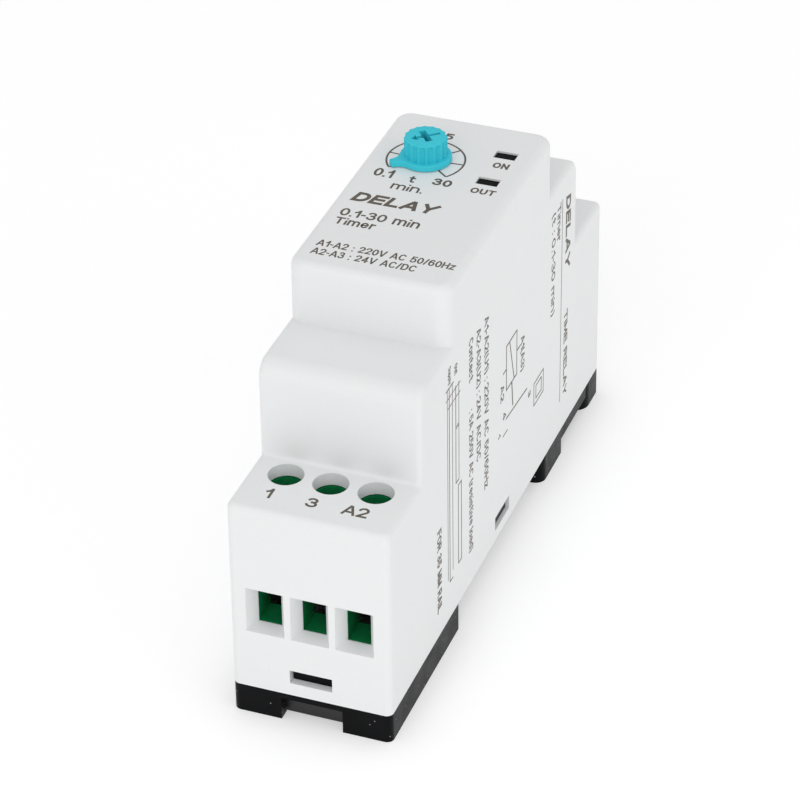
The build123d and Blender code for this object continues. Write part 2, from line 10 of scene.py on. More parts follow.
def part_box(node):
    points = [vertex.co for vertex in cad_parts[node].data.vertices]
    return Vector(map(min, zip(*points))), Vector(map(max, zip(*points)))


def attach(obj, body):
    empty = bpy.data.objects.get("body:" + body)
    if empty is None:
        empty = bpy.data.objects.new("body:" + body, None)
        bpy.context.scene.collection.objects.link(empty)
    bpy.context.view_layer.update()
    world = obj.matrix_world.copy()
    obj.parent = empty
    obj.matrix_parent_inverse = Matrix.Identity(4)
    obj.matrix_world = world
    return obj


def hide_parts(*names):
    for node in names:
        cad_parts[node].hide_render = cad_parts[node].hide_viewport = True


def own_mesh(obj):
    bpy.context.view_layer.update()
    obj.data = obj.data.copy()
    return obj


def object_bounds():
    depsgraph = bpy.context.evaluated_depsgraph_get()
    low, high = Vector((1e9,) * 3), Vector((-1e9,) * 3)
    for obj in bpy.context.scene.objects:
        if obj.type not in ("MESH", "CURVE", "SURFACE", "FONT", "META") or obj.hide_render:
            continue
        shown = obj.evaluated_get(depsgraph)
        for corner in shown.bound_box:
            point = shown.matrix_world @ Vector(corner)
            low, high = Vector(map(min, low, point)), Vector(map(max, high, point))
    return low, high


bl_info = {
    "name": "DIN Rail Timer",
    "version": (1, 0, 0),
    "blender": (4, 5, 0),
    "location": "3D View > Sidebar > Timer",
    "description": "Dresses the packed rail timer: knob, legends, screws, spring, windings and finishes",
    "category": "Object",
}

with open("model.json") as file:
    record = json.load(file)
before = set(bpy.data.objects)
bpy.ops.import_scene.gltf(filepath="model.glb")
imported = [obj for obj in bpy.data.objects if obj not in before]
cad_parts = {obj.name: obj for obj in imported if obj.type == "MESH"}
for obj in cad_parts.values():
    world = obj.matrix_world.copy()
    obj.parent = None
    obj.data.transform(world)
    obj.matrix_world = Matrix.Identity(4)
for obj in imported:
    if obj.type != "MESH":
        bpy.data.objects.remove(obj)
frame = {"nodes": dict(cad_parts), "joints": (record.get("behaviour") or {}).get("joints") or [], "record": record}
CAD_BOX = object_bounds()
MM = 0.001
X, Y, Z = Vector((1, 0, 0)), Vector((0, 1, 0)), Vector((0, 0, 1))


def joint(name):
    return next(j for j in frame["joints"] if j["name"] == name)


def mount(name):
    return next(m for m in frame["record"]["mounts"] if m["name"] == name)


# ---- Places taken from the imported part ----
COVER_LOW, COVER_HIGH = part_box("housing")
KNOB_CENTRE = Vector(joint("knob_turn")["pos_m"])
STEP_TOP = mount("driver_hole_1")["pos_m"][2] + 0.05 * MM
SCREW_NUMBERS = range(1, 7)
SCREW_TURN = math.radians(17)

# Each printed surface: the corner that its drawing is measured from, the way its lines read, and its up.
FACE = (Vector((COVER_LOW.x, COVER_LOW.y, COVER_HIGH.z)), X, Y)
NEAR_STEP = (Vector((COVER_LOW.x, COVER_LOW.y, STEP_TOP)), X, Y)
FAR_STEP = (Vector((COVER_HIGH.x, COVER_HIGH.y, STEP_TOP)), -X, -Y)
RIGHT_SIDE = (Vector((COVER_HIGH.x, COVER_LOW.y, COVER_LOW.z)), -Z, Y)

# Legends: the words, then left, right, bottom and top in millimetres, width of the strokes and lean.
FACE_WORDS = (
    ("0.1", 2.70, 5.46, 47.40, 49.50, 0.36, 0.0),
    ("t", 7.85, 8.75, 47.20, 48.85, 0.32, 0.0),
    ("min.", 6.20, 10.70, 44.85, 46.60, 0.30, 0.0),
    ("30", 11.10, 13.75, 47.65, 49.40, 0.36, 0.0),
    ("5", 8.40, 9.70, 59.75, 61.40, 0.34, 0.0),
    ("ON", 17.25, 19.50, 54.60, 56.05, 0.29, 0.0),
    ("OUT", 16.60, 20.10, 47.35, 48.75, 0.29, 0.0),
    ("DELAY", 2.30, 14.00, 40.25, 42.65, 0.56, 0.25),
    ("0.1-30 min", 2.20, 13.40, 36.20, 38.10, 0.32, 0.0),
    ("Timer", 2.30, 8.00, 34.00, 35.70, 0.30, 0.0),
    ("A1-A2 : 220V AC 50/60Hz", 2.20, 21.30, 28.05, 29.55, 0.23, 0.0),
    ("A2-A3 : 24V AC/DC", 2.20, 16.70, 25.95, 27.45, 0.23, 0.0),
)
STEP_WORDS = {
    "near": (
        ("1", 4.00, 4.95, 3.25, 5.40, 0.36, 0.0),
        ("3", 9.75, 11.30, 3.20, 5.20, 0.36, 0.0),
        ("A2", 14.75, 18.25, 3.20, 5.30, 0.36, 0.0),
    ),
    "far": (
        ("A3", 4.00, 7.40, 3.20, 5.30, 0.36, 0.0),
        ("A1", 9.80, 12.90, 3.20, 5.30, 0.36, 0.0),
        ("4", 16.70, 18.20, 3.20, 5.30, 0.36, 0.0),
    ),
}
# On the side, left and right are heights above the cover's lower edge, and the words read downwards.
SIDE_WORDS = (
    ("DELAY", 38.90, 27.00, 71.75, 73.90, 0.52, 0.25),
    ("TIME RELAY", 19.70, 5.20, 71.60, 73.20, 0.31, 0.0),
    ("Timer", 39.50, 33.50, 67.85, 69.45, 0.27, 0.0),
    ("(t : 0.1-30 min)", 39.30, 22.60, 65.45, 67.10, 0.27, 0.0),
    ("A1(A3)", 27.30, 21.60, 52.15, 53.75, 0.25, 0.0),
    ("A2", 24.40, 21.70, 43.60, 45.00, 0.25, 0.0),
    ("3", 16.10, 15.10, 55.50, 56.60, 0.23, 0.0),
    ("4", 19.40, 18.20, 44.60, 45.90, 0.23, 0.0),
    ("1", 17.00, 16.40, 42.60, 43.60, 0.23, 0.0),
    ("A1-A2(U1) : 220V AC 50/60Hz", 39.60, 11.70, 36.90, 38.55, 0.26, 0.0),
    ("A2-A3(U2) : 24V AC/DC", 39.60, 18.30, 33.70, 35.35, 0.26, 0.0),
    ("Contact", 39.90, 33.20, 30.70, 32.30, 0.26, 0.0),
    (": 5A 250V AC (resistive load)", 28.60, 5.30, 30.70, 32.30, 0.24, 0.0),
    ("Supply", 40.60, 37.90, 22.60, 23.60, 0.15, 0.0),
    ("Out", 39.60, 38.00, 24.95, 26.10, 0.18, 0.0),
    ("t", 29.80, 29.20, 25.60, 26.50, 0.20, 0.0),
    ("FOR 35 MM RAIL", 17.40, 3.90, 17.95, 19.60, 0.30, 0.0),
)
# Lines of the wiring diagram and the timing chart: height and distance of each corner, in millimetres.
SIDE_LINES = (
    (((39.50, 70.10), (5.30, 70.10)), 0.18),
    (((29.70, 46.00), (29.70, 50.40), (22.50, 50.40), (22.50, 46.00), (29.70, 46.00)), 0.26),
    (((29.70, 47.30), (22.50, 49.30)), 0.26),
    (((26.30, 50.40), (26.30, 52.00)), 0.26),
    (((26.00, 44.60), (26.00, 46.00)), 0.26),
    (((22.50, 48.30), (18.30, 48.80)), 0.36),
    (((17.20, 55.00), (17.80, 45.90)), 0.26),
    (((15.60, 46.60), (15.60, 44.60)), 0.21),
    (((15.95, 58.10), (15.95, 62.30), (12.20, 62.30), (12.20, 58.10), (15.95, 58.10)), 0.22),
    (((15.15, 59.00), (15.15, 61.40), (13.00, 61.40), (13.00, 59.00), (15.15, 59.00)), 0.22),
    (((37.40, 22.90), (6.00, 22.90), (6.00, 24.10)), 0.22),
    (((37.40, 21.60), (37.40, 24.60)), 0.22),
    (((35.90, 21.60), (35.90, 27.20)), 0.16),
    (((34.40, 22.30), (34.40, 27.20)), 0.16),
    (((37.40, 22.20), (6.60, 22.20)), 0.16),
    (((37.40, 24.10), (7.20, 24.10)), 0.18),
    (((36.20, 25.40), (20.60, 25.40), (20.60, 26.60)), 0.22),
    (((36.20, 26.60), (20.60, 26.60)), 0.18),
    (((19.70, 26.30), (6.80, 26.30), (6.80, 27.50), (19.70, 27.50), (19.70, 26.30)), 0.22),
)


# Letters as strokes in a box of their own width by 1: a pair is a corner, six numbers are an arc given by
# its centre, its two radii and the angles it runs between, and a single pair is a square dot.
ROUND = (0.5, 0.5, 0.5, 0.5, 90, 450)
BOWL = (0.5, 0.38, 0.5, 0.38, 90, 450)
GLYPHS = {
    "0": (0.76, (ROUND,)),
    "1": (0.42, ((1, 0), (1, 1)), ((0, 0.68), (0.55, 0.80), (0.92, 1))),
    "2": (0.76, ((0.48, 0.72, 0.5, 0.28, 168, -38), (0.06, 0.06)), ((0, 0), (1, 0))),
    "3": (0.76, ((0.48, 0.76, 0.44, 0.24, 160, -90),), ((0.48, 0.27, 0.52, 0.27, 90, -160),)),
    "4": (0.82, ((0.74, 0), (0.74, 1)), ((0.70, 1), (0.02, 0.27)), ((0, 0.25), (1, 0.25))),
    "5": (0.76, ((0.94, 1), (0.20, 1), (0.08, 0.50)), ((0.48, 0.33, 0.52, 0.33, 140, -158),)),
    "6": (0.76, ((0.55, 0.60, 0.55, 0.40, 50, 180), (0.0, 0.33)), ((0.5, 0.32, 0.5, 0.32, 90, 450),)),
    "A": (1.0, ((0, 0), (0.45, 1)), ((0.55, 1), (1, 0)), ((0.20, 0.28), (0.80, 0.28))),
    "C": (0.94, ((0.52, 0.5, 0.52, 0.5, 45, 315),)),
    "D": (0.90, ((0, 0), (0, 1), (0.45, 1), (0.45, 0.5, 0.55, 0.5, 75, -75), (0.45, 0), (0, 0))),
    "E": (0.80, ((1, 1), (0, 1), (0, 0), (1, 0)), ((0, 0.52), (0.92, 0.52))),
    "F": (0.76, ((1, 1), (0, 1), (0, 0)), ((0, 0.50), (0.88, 0.50))),
    "H": (0.88, ((0, 0), (0, 1)), ((1, 0), (1, 1)), ((0, 0.53), (1, 0.53))),
    "I": (0.0, ((0, 0), (0, 1))),
    "L": (0.74, ((0, 1), (0, 0), (1, 0))),
    "M": (1.04, ((0, 0), (0, 1)), ((0, 1), (0.5, 0.1)), ((0.5, 0.1), (1, 1)), ((1, 0), (1, 1))),
    "N": (0.88, ((0, 0), (0, 1)), ((0, 1), (1, 0)), ((1, 0), (1, 1))),
    "O": (1.02, (ROUND,)),
    "R": (0.88, ((0, 0), (0, 1), (0.60, 1), (0.60, 0.74, 0.34, 0.26, 80, -80), (0.60, 0.48), (0, 0.48)),
          ((0.55, 0.48), (1, 0))),
    "S": (0.80, ((0.5, 0.755, 0.46, 0.245, 25, 270),), ((0.5, 0.255, 0.5, 0.255, 90, -155),)),
    "T": (0.86, ((0, 1), (1, 1)), ((0.5, 0), (0.5, 1))),
    "V": (0.94, ((0, 1), (0.46, 0)), ((0.54, 0), (1, 1))),
    "U": (0.86, ((0, 1), (0.5, 0.40, 0.5, 0.40, 180, 360), (1, 1))),
    "Y": (0.94, ((0, 1), (0.5, 0.42)), ((1, 1), (0.5, 0.42)), ((0.5, 0.46), (0.5, 0))),
    "a": (0.70, ((0.5, 0.50, 0.45, 0.26, 165, 0), (0.95, 0)), ((0.46, 0.21, 0.46, 0.21, 90, 450),)),
    "c": (0.68, ((0.52, 0.38, 0.52, 0.38, 45, 315),)),
    "d": (0.74, ((1, 0), (1, 1)), (BOWL,)),
    "e": (0.72, ((0.02, 0.38), (0.98, 0.38), (0.5, 0.38, 0.48, 0.38, 10, 315))),
    "i": (0.0, ((0, 0), (0, 0.58)), ((0, 1),)),
    "l": (0.0, ((0, 0), (0, 1))),
    "m": (1.22, ((0, 0), (0, 0.76)), ((0.25, 0.50, 0.25, 0.26, 180, 0), (0.5, 0)),
          ((0.75, 0.50, 0.25, 0.26, 180, 0), (1, 0))),
    "n": (0.70, ((0, 0), (0, 0.76)), ((0.5, 0.46, 0.5, 0.30, 180, 0), (1, 0))),
    "o": (0.74, (BOWL,)),
    "p": (0.74, ((0, -0.25), (0, 0.76)), (BOWL,)),
    "r": (0.42, ((0, 0), (0, 0.76)), ((0, 0.40), (0.8, 0.40, 0.8, 0.34, 150, 80))),
    "s": (0.66, ((0.5, 0.57, 0.44, 0.19, 20, 270),), ((0.5, 0.19, 0.48, 0.19, 90, -160),)),
    "t": (0.46, ((0.40, 1), (0.40, 0.16), (0.62, 0), (1, 0.02)), ((0, 0.73), (0.95, 0.73))),
    "u": (0.70, ((0, 0.76), (0.5, 0.30, 0.5, 0.30, 180, 360)), ((1, 0), (1, 0.76))),
    "v": (0.72, ((0, 0.76), (0.46, 0)), ((0.54, 0), (1, 0.76))),
    "y": (0.72, ((0, 0.76), (0.5, 0.05)), ((1, 0.76), (0.3, -0.26))),
    "z": (0.64, ((0, 0.74), (1, 0.74)), ((1, 0.74), (0, 0)), ((0, 0), (1, 0))),
    ".": (0.0, ((0, 0),)),
    ":": (0.0, ((0, 0),), ((0, 0.62),)),
    "-": (0.26, ((0, 0.42), (1, 0.42))),
    "/": (0.36, ((0, 0), (1, 1))),
    "(": (0.22, ((1.2, 0.42, 1.2, 0.66, 120, 240),)),
    ")": (0.22, ((-0.2, 0.42, 1.2, 0.66, 60, -60),)),
    " ": (0.26,),
}
LETTER_GAP = 0.13


# ---- Sizes and colours that a user may change ----
def length(name, description, default, **limits):
    return FloatProperty(name=name, description=description, default=default * MM, unit="LENGTH",
                         subtype="DISTANCE", precision=5, min=0.0, **limits)


def colour(name, description, default):
    return FloatVectorProperty(name=name, description=description, default=default, subtype="COLOR",
                               size=3, min=0.0, max=1.0)


def share(name, description, default):
    return FloatProperty(name=name, description=description, default=default, subtype="FACTOR",
                         min=0.0, max=1.0)


class TimerFinishes(bpy.types.PropertyGroup):
    cover: colour("Cover", "Moulded cover's colour", (0.82, 0.83, 0.835))
    base: colour("Base", "Rail base's colour", (0.0030, 0.0032, 0.0038))
    knob: colour("Knob", "Time knob's colour", (0.000, 0.66, 0.98))
    terminal: colour("Terminals", "Terminal blocks' colour", (0.007, 0.195, 0.062))
    ink: colour("Ink", "Printed legends' colour", (0.098, 0.080, 0.060))
    cover_roughness: share("Cover roughness", "How matt the cover is", 0.42)
    base_roughness: share("Base roughness", "How matt the rail base is", 0.32)
    knob_roughness: share("Knob roughness", "How matt the knob is", 0.20)
    ink_thickness: length("Ink thickness", "How far the legends stand proud", 0.012)


class TimerKnob(bpy.types.PropertyGroup):
    grip_radius: length("Grip radius", "Radius over the grip's ribs", 2.95)
    height: length("Height", "Top of the knob above the face", 3.7)
    gap: length("Gap", "Space between the face and the skirt", 0.15)
    skirt_radius: length("Skirt radius", "Radius of the skirt", 3.55)
    skirt_height: length("Skirt height", "Thickness of the skirt", 0.78)
    pointer_radius: length("Pointer reach", "Distance of the pointer's tip from the axis", 5.1)
    pointer_angle: FloatProperty(name="Pointer angle", description="Direction of the pointer at rest",
                                 default=math.radians(220.0), subtype="ANGLE", unit="ROTATION")
    flutes: IntProperty(name="Flutes", description="Grooves round the grip", default=16, min=3, max=60)
    flute_depth: length("Flute depth", "Depth of each groove", 0.42)
    flute_top: length("Flute end", "Height at which the grooves run out, below the top", 0.30)
    recess_depth: length("Recess depth", "Depth of the screwdriver recess", 1.5)


class TimerDial(bpy.types.PropertyGroup):
    radius: length("Radius", "Radius of the dial's ring", 5.36)
    line: length("Line width", "Width of the dial's lines", 0.27)
    start: FloatProperty(name="Start", description="Direction of the last mark", subtype="ANGLE",
                         default=math.radians(-40.0), unit="ROTATION")
    sweep: FloatProperty(name="Sweep", description="Angle between the first and the last mark",
                         default=math.radians(260.0), subtype="ANGLE", unit="ROTATION")
    marks: IntProperty(name="Marks", description="Number of marks on the ring", default=7, min=2, max=60)
    mark_length: length("Mark length", "Length of each mark, inwards from the ring", 1.96)


class TimerStage(bpy.types.PropertyGroup):
    floor: colour("Floor", "Floor's colour", (0.74, 0.74, 0.74))
    glow: FloatProperty(name="Glow", description="Light given off by the floor itself", default=0.37,
                        min=0.0)
    sky: FloatProperty(name="Sky", description="Strength of the even light from all round",
                       default=0.68, min=0.0)
    key: FloatProperty(name="Key", description="Power of the large soft light", default=2.0, min=0.0,
                       unit="POWER")
    top: FloatProperty(name="Top", description="Power of the soft light overhead", default=0.7, min=0.0,
                       unit="POWER")
    fill: FloatProperty(name="Fill", description="Power of the soft light on the right", default=0.6,
                        min=0.0, unit="POWER")
    camera_place: FloatVectorProperty(name="Camera", description="Place of the camera", size=3,
                                      default=(0.139416, -0.375616, 0.293167), subtype="TRANSLATION",
                                      unit="LENGTH")
    camera_turn: FloatVectorProperty(name="Camera turn", description="Turn of the camera", size=3,
                                     default=(math.radians(56.0848), math.radians(0.7039),
                                              math.radians(20.4044)),
                                     subtype="EULER", unit="ROTATION")
    lens: FloatProperty(name="Lens", description="Focal length of the camera in millimetres",
                        default=156.685, min=1.0)


# ---- Node trees ----
class Nodes:
    """Short ways to add and join the nodes of a tree."""

    def add(self, kind, settings=None, **inputs):
        """A new node; an input is given by its name, or by n and its place in the list."""
        node = self.tree.nodes.new(kind)
        for key, value in (settings or {}).items():
            setattr(node, key, value)
        for key, value in inputs.items():
            numbered = key[0] == "n" and key[1:].isdigit()
            self.set(node.inputs[int(key[1:]) if numbered else key.replace("_", " ")], value)
        return node

    def set(self, socket, value):
        if isinstance(value, bpy.types.NodeSocket):
            self.tree.links.new(value, socket)
        else:
            socket.default_value = value

    def maths(self, operation, first, second=0.0, third=0.0):
        node = self.add("ShaderNodeMath", {"operation": operation}, n0=first, n1=second, n2=third)
        return node.outputs[0]


# ---- Materials ----
class Surface(Nodes):
    """A material with one shader, whose patterns follow the piece's own place."""

    def __init__(self, name):
        self.material = bpy.data.materials.new(name)
        self.material.use_nodes = True
        self.tree = self.material.node_tree
        self.tree.nodes.clear()
        output = self.tree.nodes.new("ShaderNodeOutputMaterial")
        self.shader = self.tree.nodes.new("ShaderNodeBsdfPrincipled")
        self.tree.links.new(self.shader.outputs["BSDF"], output.inputs["Surface"])
        self.place = self.tree.nodes.new("ShaderNodeTexCoord").outputs["Object"]

    def glaze(self, **inputs):
        for key, value in inputs.items():
            self.set(self.shader.inputs[key.replace("_", " ")], value)

    def noise(self, size, detail=3.0, rough=0.55, place=None):
        """Noise whose features are about size metres across."""
        node = self.add("ShaderNodeTexNoise", Vector=place or self.place, Scale=1 / size, Detail=detail,
                        Roughness=rough)
        return node.outputs["Fac"]

    def cells(self, size, feature="F1", place=None):
        node = self.add("ShaderNodeTexVoronoi", {"feature": feature}, Vector=place or self.place,
                        Scale=1 / size)
        return node.outputs["Distance"]

    def stretched(self, scale, turn=(0, 0, 0)):
        return self.add("ShaderNodeMapping", Vector=self.place, Scale=scale, Rotation=turn).outputs[0]

    def ramp(self, value, low, high, from_low=0.3, from_high=0.7):
        node = self.add("ShaderNodeMapRange", {"clamp": True}, n0=value, n1=from_low, n2=from_high,
                        n3=low, n4=high)
        return node.outputs[0]

    def between(self, value, first, second):
        """Colour that goes from first to second as value goes from 0 to 1."""
        node = self.add("ShaderNodeMix", {"data_type": "RGBA"}, n0=value)
        for socket, value in ((node.inputs[6], first), (node.inputs[7], second)):
            self.set(socket, (*value, 1) if isinstance(value, tuple) else value)
        return node.outputs[2]

    def bump(self, height, distance, below=None):
        node = self.add("ShaderNodeBump", Height=height, Distance=distance, Strength=1.0)
        if below is not None:
            self.set(node.inputs["Normal"], below)
        return node.outputs["Normal"]

    def relief(self, height, distance, below=None):
        """Gives the surface a relief of its own over any coarser one below."""
        self.glaze(Normal=self.bump(height, distance, below))
        return self


def tinted(base, factor, tint=(1, 1, 1)):
    return tuple(min(1.0, max(0.0, c * factor * t)) for c, t in zip(base, tint))


def moulded(name, base, roughness, grain=0.00022, relief=0.000006, mottle=0.012, spread=0.05):
    """Moulded or cast skin: slow colour drift, fine eroded grain and uneven gloss."""
    skin = Surface(name)
    drift = skin.ramp(skin.noise(mottle, 4.0), 0.0, 1.0)
    skin.glaze(Base_Color=skin.between(drift, tinted(base, 1 - spread), tinted(base, 1 + spread)),
               Roughness=skin.ramp(skin.noise(mottle * 0.3, 5.0, 0.65), roughness - 0.05, roughness + 0.06))
    flow = skin.bump(skin.noise(grain * 14, 2.0), relief * 2.2)
    return skin.relief(skin.noise(grain, 3.0, 0.6), relief, flow)


def cover_plastic(looks):
    skin = Surface("cover_plastic")
    base = tuple(looks.cover)
    drift = skin.ramp(skin.noise(0.018, 3.0), 0.0, 1.0)
    speckle = skin.ramp(skin.noise(0.00012, 2.0), 0.0, 1.0, 0.25, 0.75)
    body = skin.between(drift, tinted(base, 0.985, (1, 1, 1.004)), tinted(base, 1.012))
    grit = skin.between(speckle, tinted(base, 0.955), tinted(base, 1.03))
    skin.glaze(Base_Color=skin.between(0.5, body, grit),
               Roughness=skin.ramp(skin.noise(0.004, 5.0, 0.65), looks.cover_roughness - 0.04,
                                   looks.cover_roughness + 0.06),
               Subsurface_Weight=0.03, Subsurface_Scale=0.0004, IOR=1.5)
    flow = skin.bump(skin.noise(0.006, 2.0), 0.000035)
    return skin.relief(skin.noise(0.00016, 3.0, 0.6), 0.0000045, flow)


def base_plastic(looks):
    skin = Surface("base_plastic")
    base = tuple(looks.base)
    dust = skin.maths("LESS_THAN", skin.cells(0.0011), 0.075)
    lint = skin.maths("MULTIPLY", skin.maths("LESS_THAN", skin.cells(0.0011), 0.10),
                      skin.maths("GREATER_THAN", skin.noise(0.006), 0.55))
    specks = skin.maths("MAXIMUM", dust, lint)
    drift = skin.ramp(skin.noise(0.009, 4.0), 0.0, 1.0)
    body = skin.between(drift, tinted(base, 0.8), tinted(base, 1.5))
    skin.glaze(Base_Color=skin.between(specks, body, (0.34, 0.33, 0.31)),
               Roughness=skin.ramp(skin.noise(0.003, 5.0, 0.7), looks.base_roughness - 0.06,
                                   looks.base_roughness + 0.09),
               Specular_IOR_Level=0.07)
    flow = skin.bump(skin.noise(0.0045, 2.0), 0.00003)
    return skin.relief(skin.noise(0.0002, 3.0, 0.6), 0.000006, flow)


def knob_plastic(looks):
    skin = Surface("knob_plastic")
    base = tuple(looks.knob)
    drift = skin.ramp(skin.noise(0.0022, 4.0), 0.0, 1.0)
    skin.glaze(Base_Color=skin.between(drift, tinted(base, 0.94), tinted(base, 1.05, (1.3, 1, 1))),
               Roughness=skin.ramp(skin.noise(0.0009, 4.0), looks.knob_roughness - 0.05,
                                   looks.knob_roughness + 0.07),
               Specular_IOR_Level=0.26)
    return skin.relief(skin.noise(0.00014, 3.0), 0.000004)


def terminal_plastic(looks):
    skin = Surface("terminal_plastic")
    base = tuple(looks.terminal)
    drift = skin.ramp(skin.noise(0.003, 4.0), 0.0, 1.0)
    skin.glaze(Base_Color=skin.between(drift, tinted(base, 0.85), tinted(base, 1.2)),
               Roughness=skin.ramp(skin.noise(0.0016, 4.0), 0.16, 0.30),
               Subsurface_Weight=0.1, Subsurface_Scale=0.0008)
    streaks = skin.noise(0.0006, 3.0, place=skin.stretched((1, 1, 0.2)))
    return skin.relief(streaks, 0.000008)


def printed_ink(looks):
    """Pad-printed ink: a little uneven, with a thin spot here and there."""
    skin = Surface("printed_ink")
    base = tuple(looks.ink)
    patch = skin.ramp(skin.noise(0.0012, 4.0), 0.0, 1.0)
    dots = skin.ramp(skin.noise(0.00007, 2.0), 0.0, 1.0, 0.2, 0.8)
    weak = skin.maths("MULTIPLY", patch, dots)
    skin.glaze(Base_Color=skin.between(weak, tinted(base, 0.8), tinted(base, 1.7)),
               Roughness=skin.ramp(patch, 0.42, 0.58, 0.0, 1.0))
    return skin.relief(skin.noise(0.00009, 2.0), 0.000003)


def plated_steel(name, base, size=0.0006, turn=(0, 0, 0)):
    """Zinc plate over a stamped or turned surface: fine parallel marks and a cloudy gloss."""
    skin = Surface(name)
    marks = skin.noise(size * 0.25, 3.0, place=skin.stretched((0.06, 1, 1), turn))
    cloud = skin.ramp(skin.noise(size * 3, 4.0), 0.0, 1.0)
    skin.glaze(Base_Color=skin.between(cloud, tinted(base, 0.82, (1, 1, 0.97)), tinted(base, 1.12)),
               Metallic=1.0, Roughness=skin.ramp(marks, 0.22, 0.44))
    return skin.relief(marks, 0.000006)


def sprung_brass(name, base):
    return plated_steel(name, base, 0.0009, (0, 0, math.radians(90)))


def board_laminate():
    """Solder resist over woven glass: the weave shows through the green."""
    skin = Surface("board_laminate")
    warp, weft = (skin.add("ShaderNodeTexWave", {"bands_direction": way}, Vector=skin.place, Scale=700.0,
                           Distortion=0.6, Detail=1.0).outputs["Fac"] for way in "YZ")
    weave = skin.maths("MULTIPLY", warp, weft)
    tracks = skin.maths("GREATER_THAN", skin.noise(0.004, 0.0, place=skin.stretched((1, 1, 0.35))), 0.53)
    ground = skin.between(weave, (0.006, 0.075, 0.022), (0.014, 0.13, 0.040))
    skin.glaze(Base_Color=skin.between(tracks, ground, (0.02, 0.21, 0.06)),
               Roughness=skin.ramp(skin.noise(0.002), 0.22, 0.34), Coat_Weight=0.25)
    relief = skin.bump(tracks, 0.00003)
    return skin.relief(weave, 0.000004, relief)


# Near-black lens blocks: painted shade standing in for the dark inside of the indicator openings behind the
# windows.
def painted_shade_lens():
    skin = Surface("lens_plastic")
    lens_tone = skin.ramp(skin.noise(0.0012, 4.0), 0.0, 1.0)
    skin.glaze(Base_Color=skin.between(lens_tone, (0.002, 0.002, 0.002), (0.006, 0.006, 0.007)),
               Roughness=skin.ramp(lens_tone, 0.16, 0.30, 0.0, 1.0), Specular_IOR_Level=0.04)
    return skin.relief(skin.noise(0.0009, 2.0), 0.000008)


def clear_encapsulant():
    skin = Surface("led_plastic")
    swirl = skin.ramp(skin.noise(0.0009, 4.0), 0.0, 1.0)
    skin.glaze(Base_Color=skin.between(swirl, (0.62, 0.66, 0.60), (0.85, 0.88, 0.80)),
               Roughness=skin.ramp(swirl, 0.06, 0.16, 0.0, 1.0), Transmission_Weight=0.35,
               IOR=1.53, Coat_Weight=0.3)
    return skin.relief(skin.noise(0.0005, 2.0), 0.000006)


def enamelled_copper():
    skin = Surface("winding_copper")
    lay = skin.ramp(skin.noise(0.0004, 3.0, place=skin.stretched((1, 0.2, 1))), 0.0, 1.0)
    skin.glaze(Base_Color=skin.between(lay, (0.42, 0.11, 0.03), (0.72, 0.26, 0.09)), Metallic=0.85,
               Roughness=skin.ramp(lay, 0.20, 0.34, 0.0, 1.0), Coat_Weight=0.4)
    return skin.relief(lay, 0.000006)


def shrink_sleeve():
    """Capacitor sleeve: dark film with a pale polarity stripe of dashes."""
    skin = Surface("can_sleeve")
    split = skin.add("ShaderNodeSeparateXYZ", Vector=skin.place)
    dashes = skin.maths("GREATER_THAN", skin.add("ShaderNodeTexWave", {"bands_direction": "X"},
                        Vector=skin.place, Scale=130.0).outputs["Fac"], 0.55)
    rim = skin.maths("GREATER_THAN", split.outputs[2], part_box("filter_capacitor")[1].z - 0.7 * MM)
    stripe = skin.maths("MULTIPLY", dashes, rim)
    film = skin.between(skin.ramp(skin.noise(0.003), 0.0, 1.0), (0.006, 0.007, 0.020), (0.012, 0.014, 0.036))
    skin.glaze(Base_Color=skin.between(stripe, film, (0.55, 0.56, 0.58)),
               Roughness=skin.ramp(skin.noise(0.001, 4.0), 0.16, 0.30), Coat_Weight=0.2)
    return skin.relief(skin.noise(0.0011, 3.0), 0.00002)


def lacquered(name, base, banded=False):
    skin = Surface(name)
    drift = skin.ramp(skin.noise(0.0015, 4.0), 0.0, 1.0)
    body = skin.between(drift, tinted(base, 0.82), tinted(base, 1.15))
    if banded:
        rings = skin.add("ShaderNodeTexWave", {"bands_direction": "Y"}, Vector=skin.place,
                         Scale=420.0).outputs["Fac"]
        body = skin.between(skin.maths("GREATER_THAN", rings, 0.82), body, (0.20, 0.035, 0.01))
    skin.glaze(Base_Color=body, Roughness=skin.ramp(drift, 0.18, 0.32, 0.0, 1.0), Coat_Weight=0.3)
    return skin.relief(skin.noise(0.0009, 3.0), 0.00002)


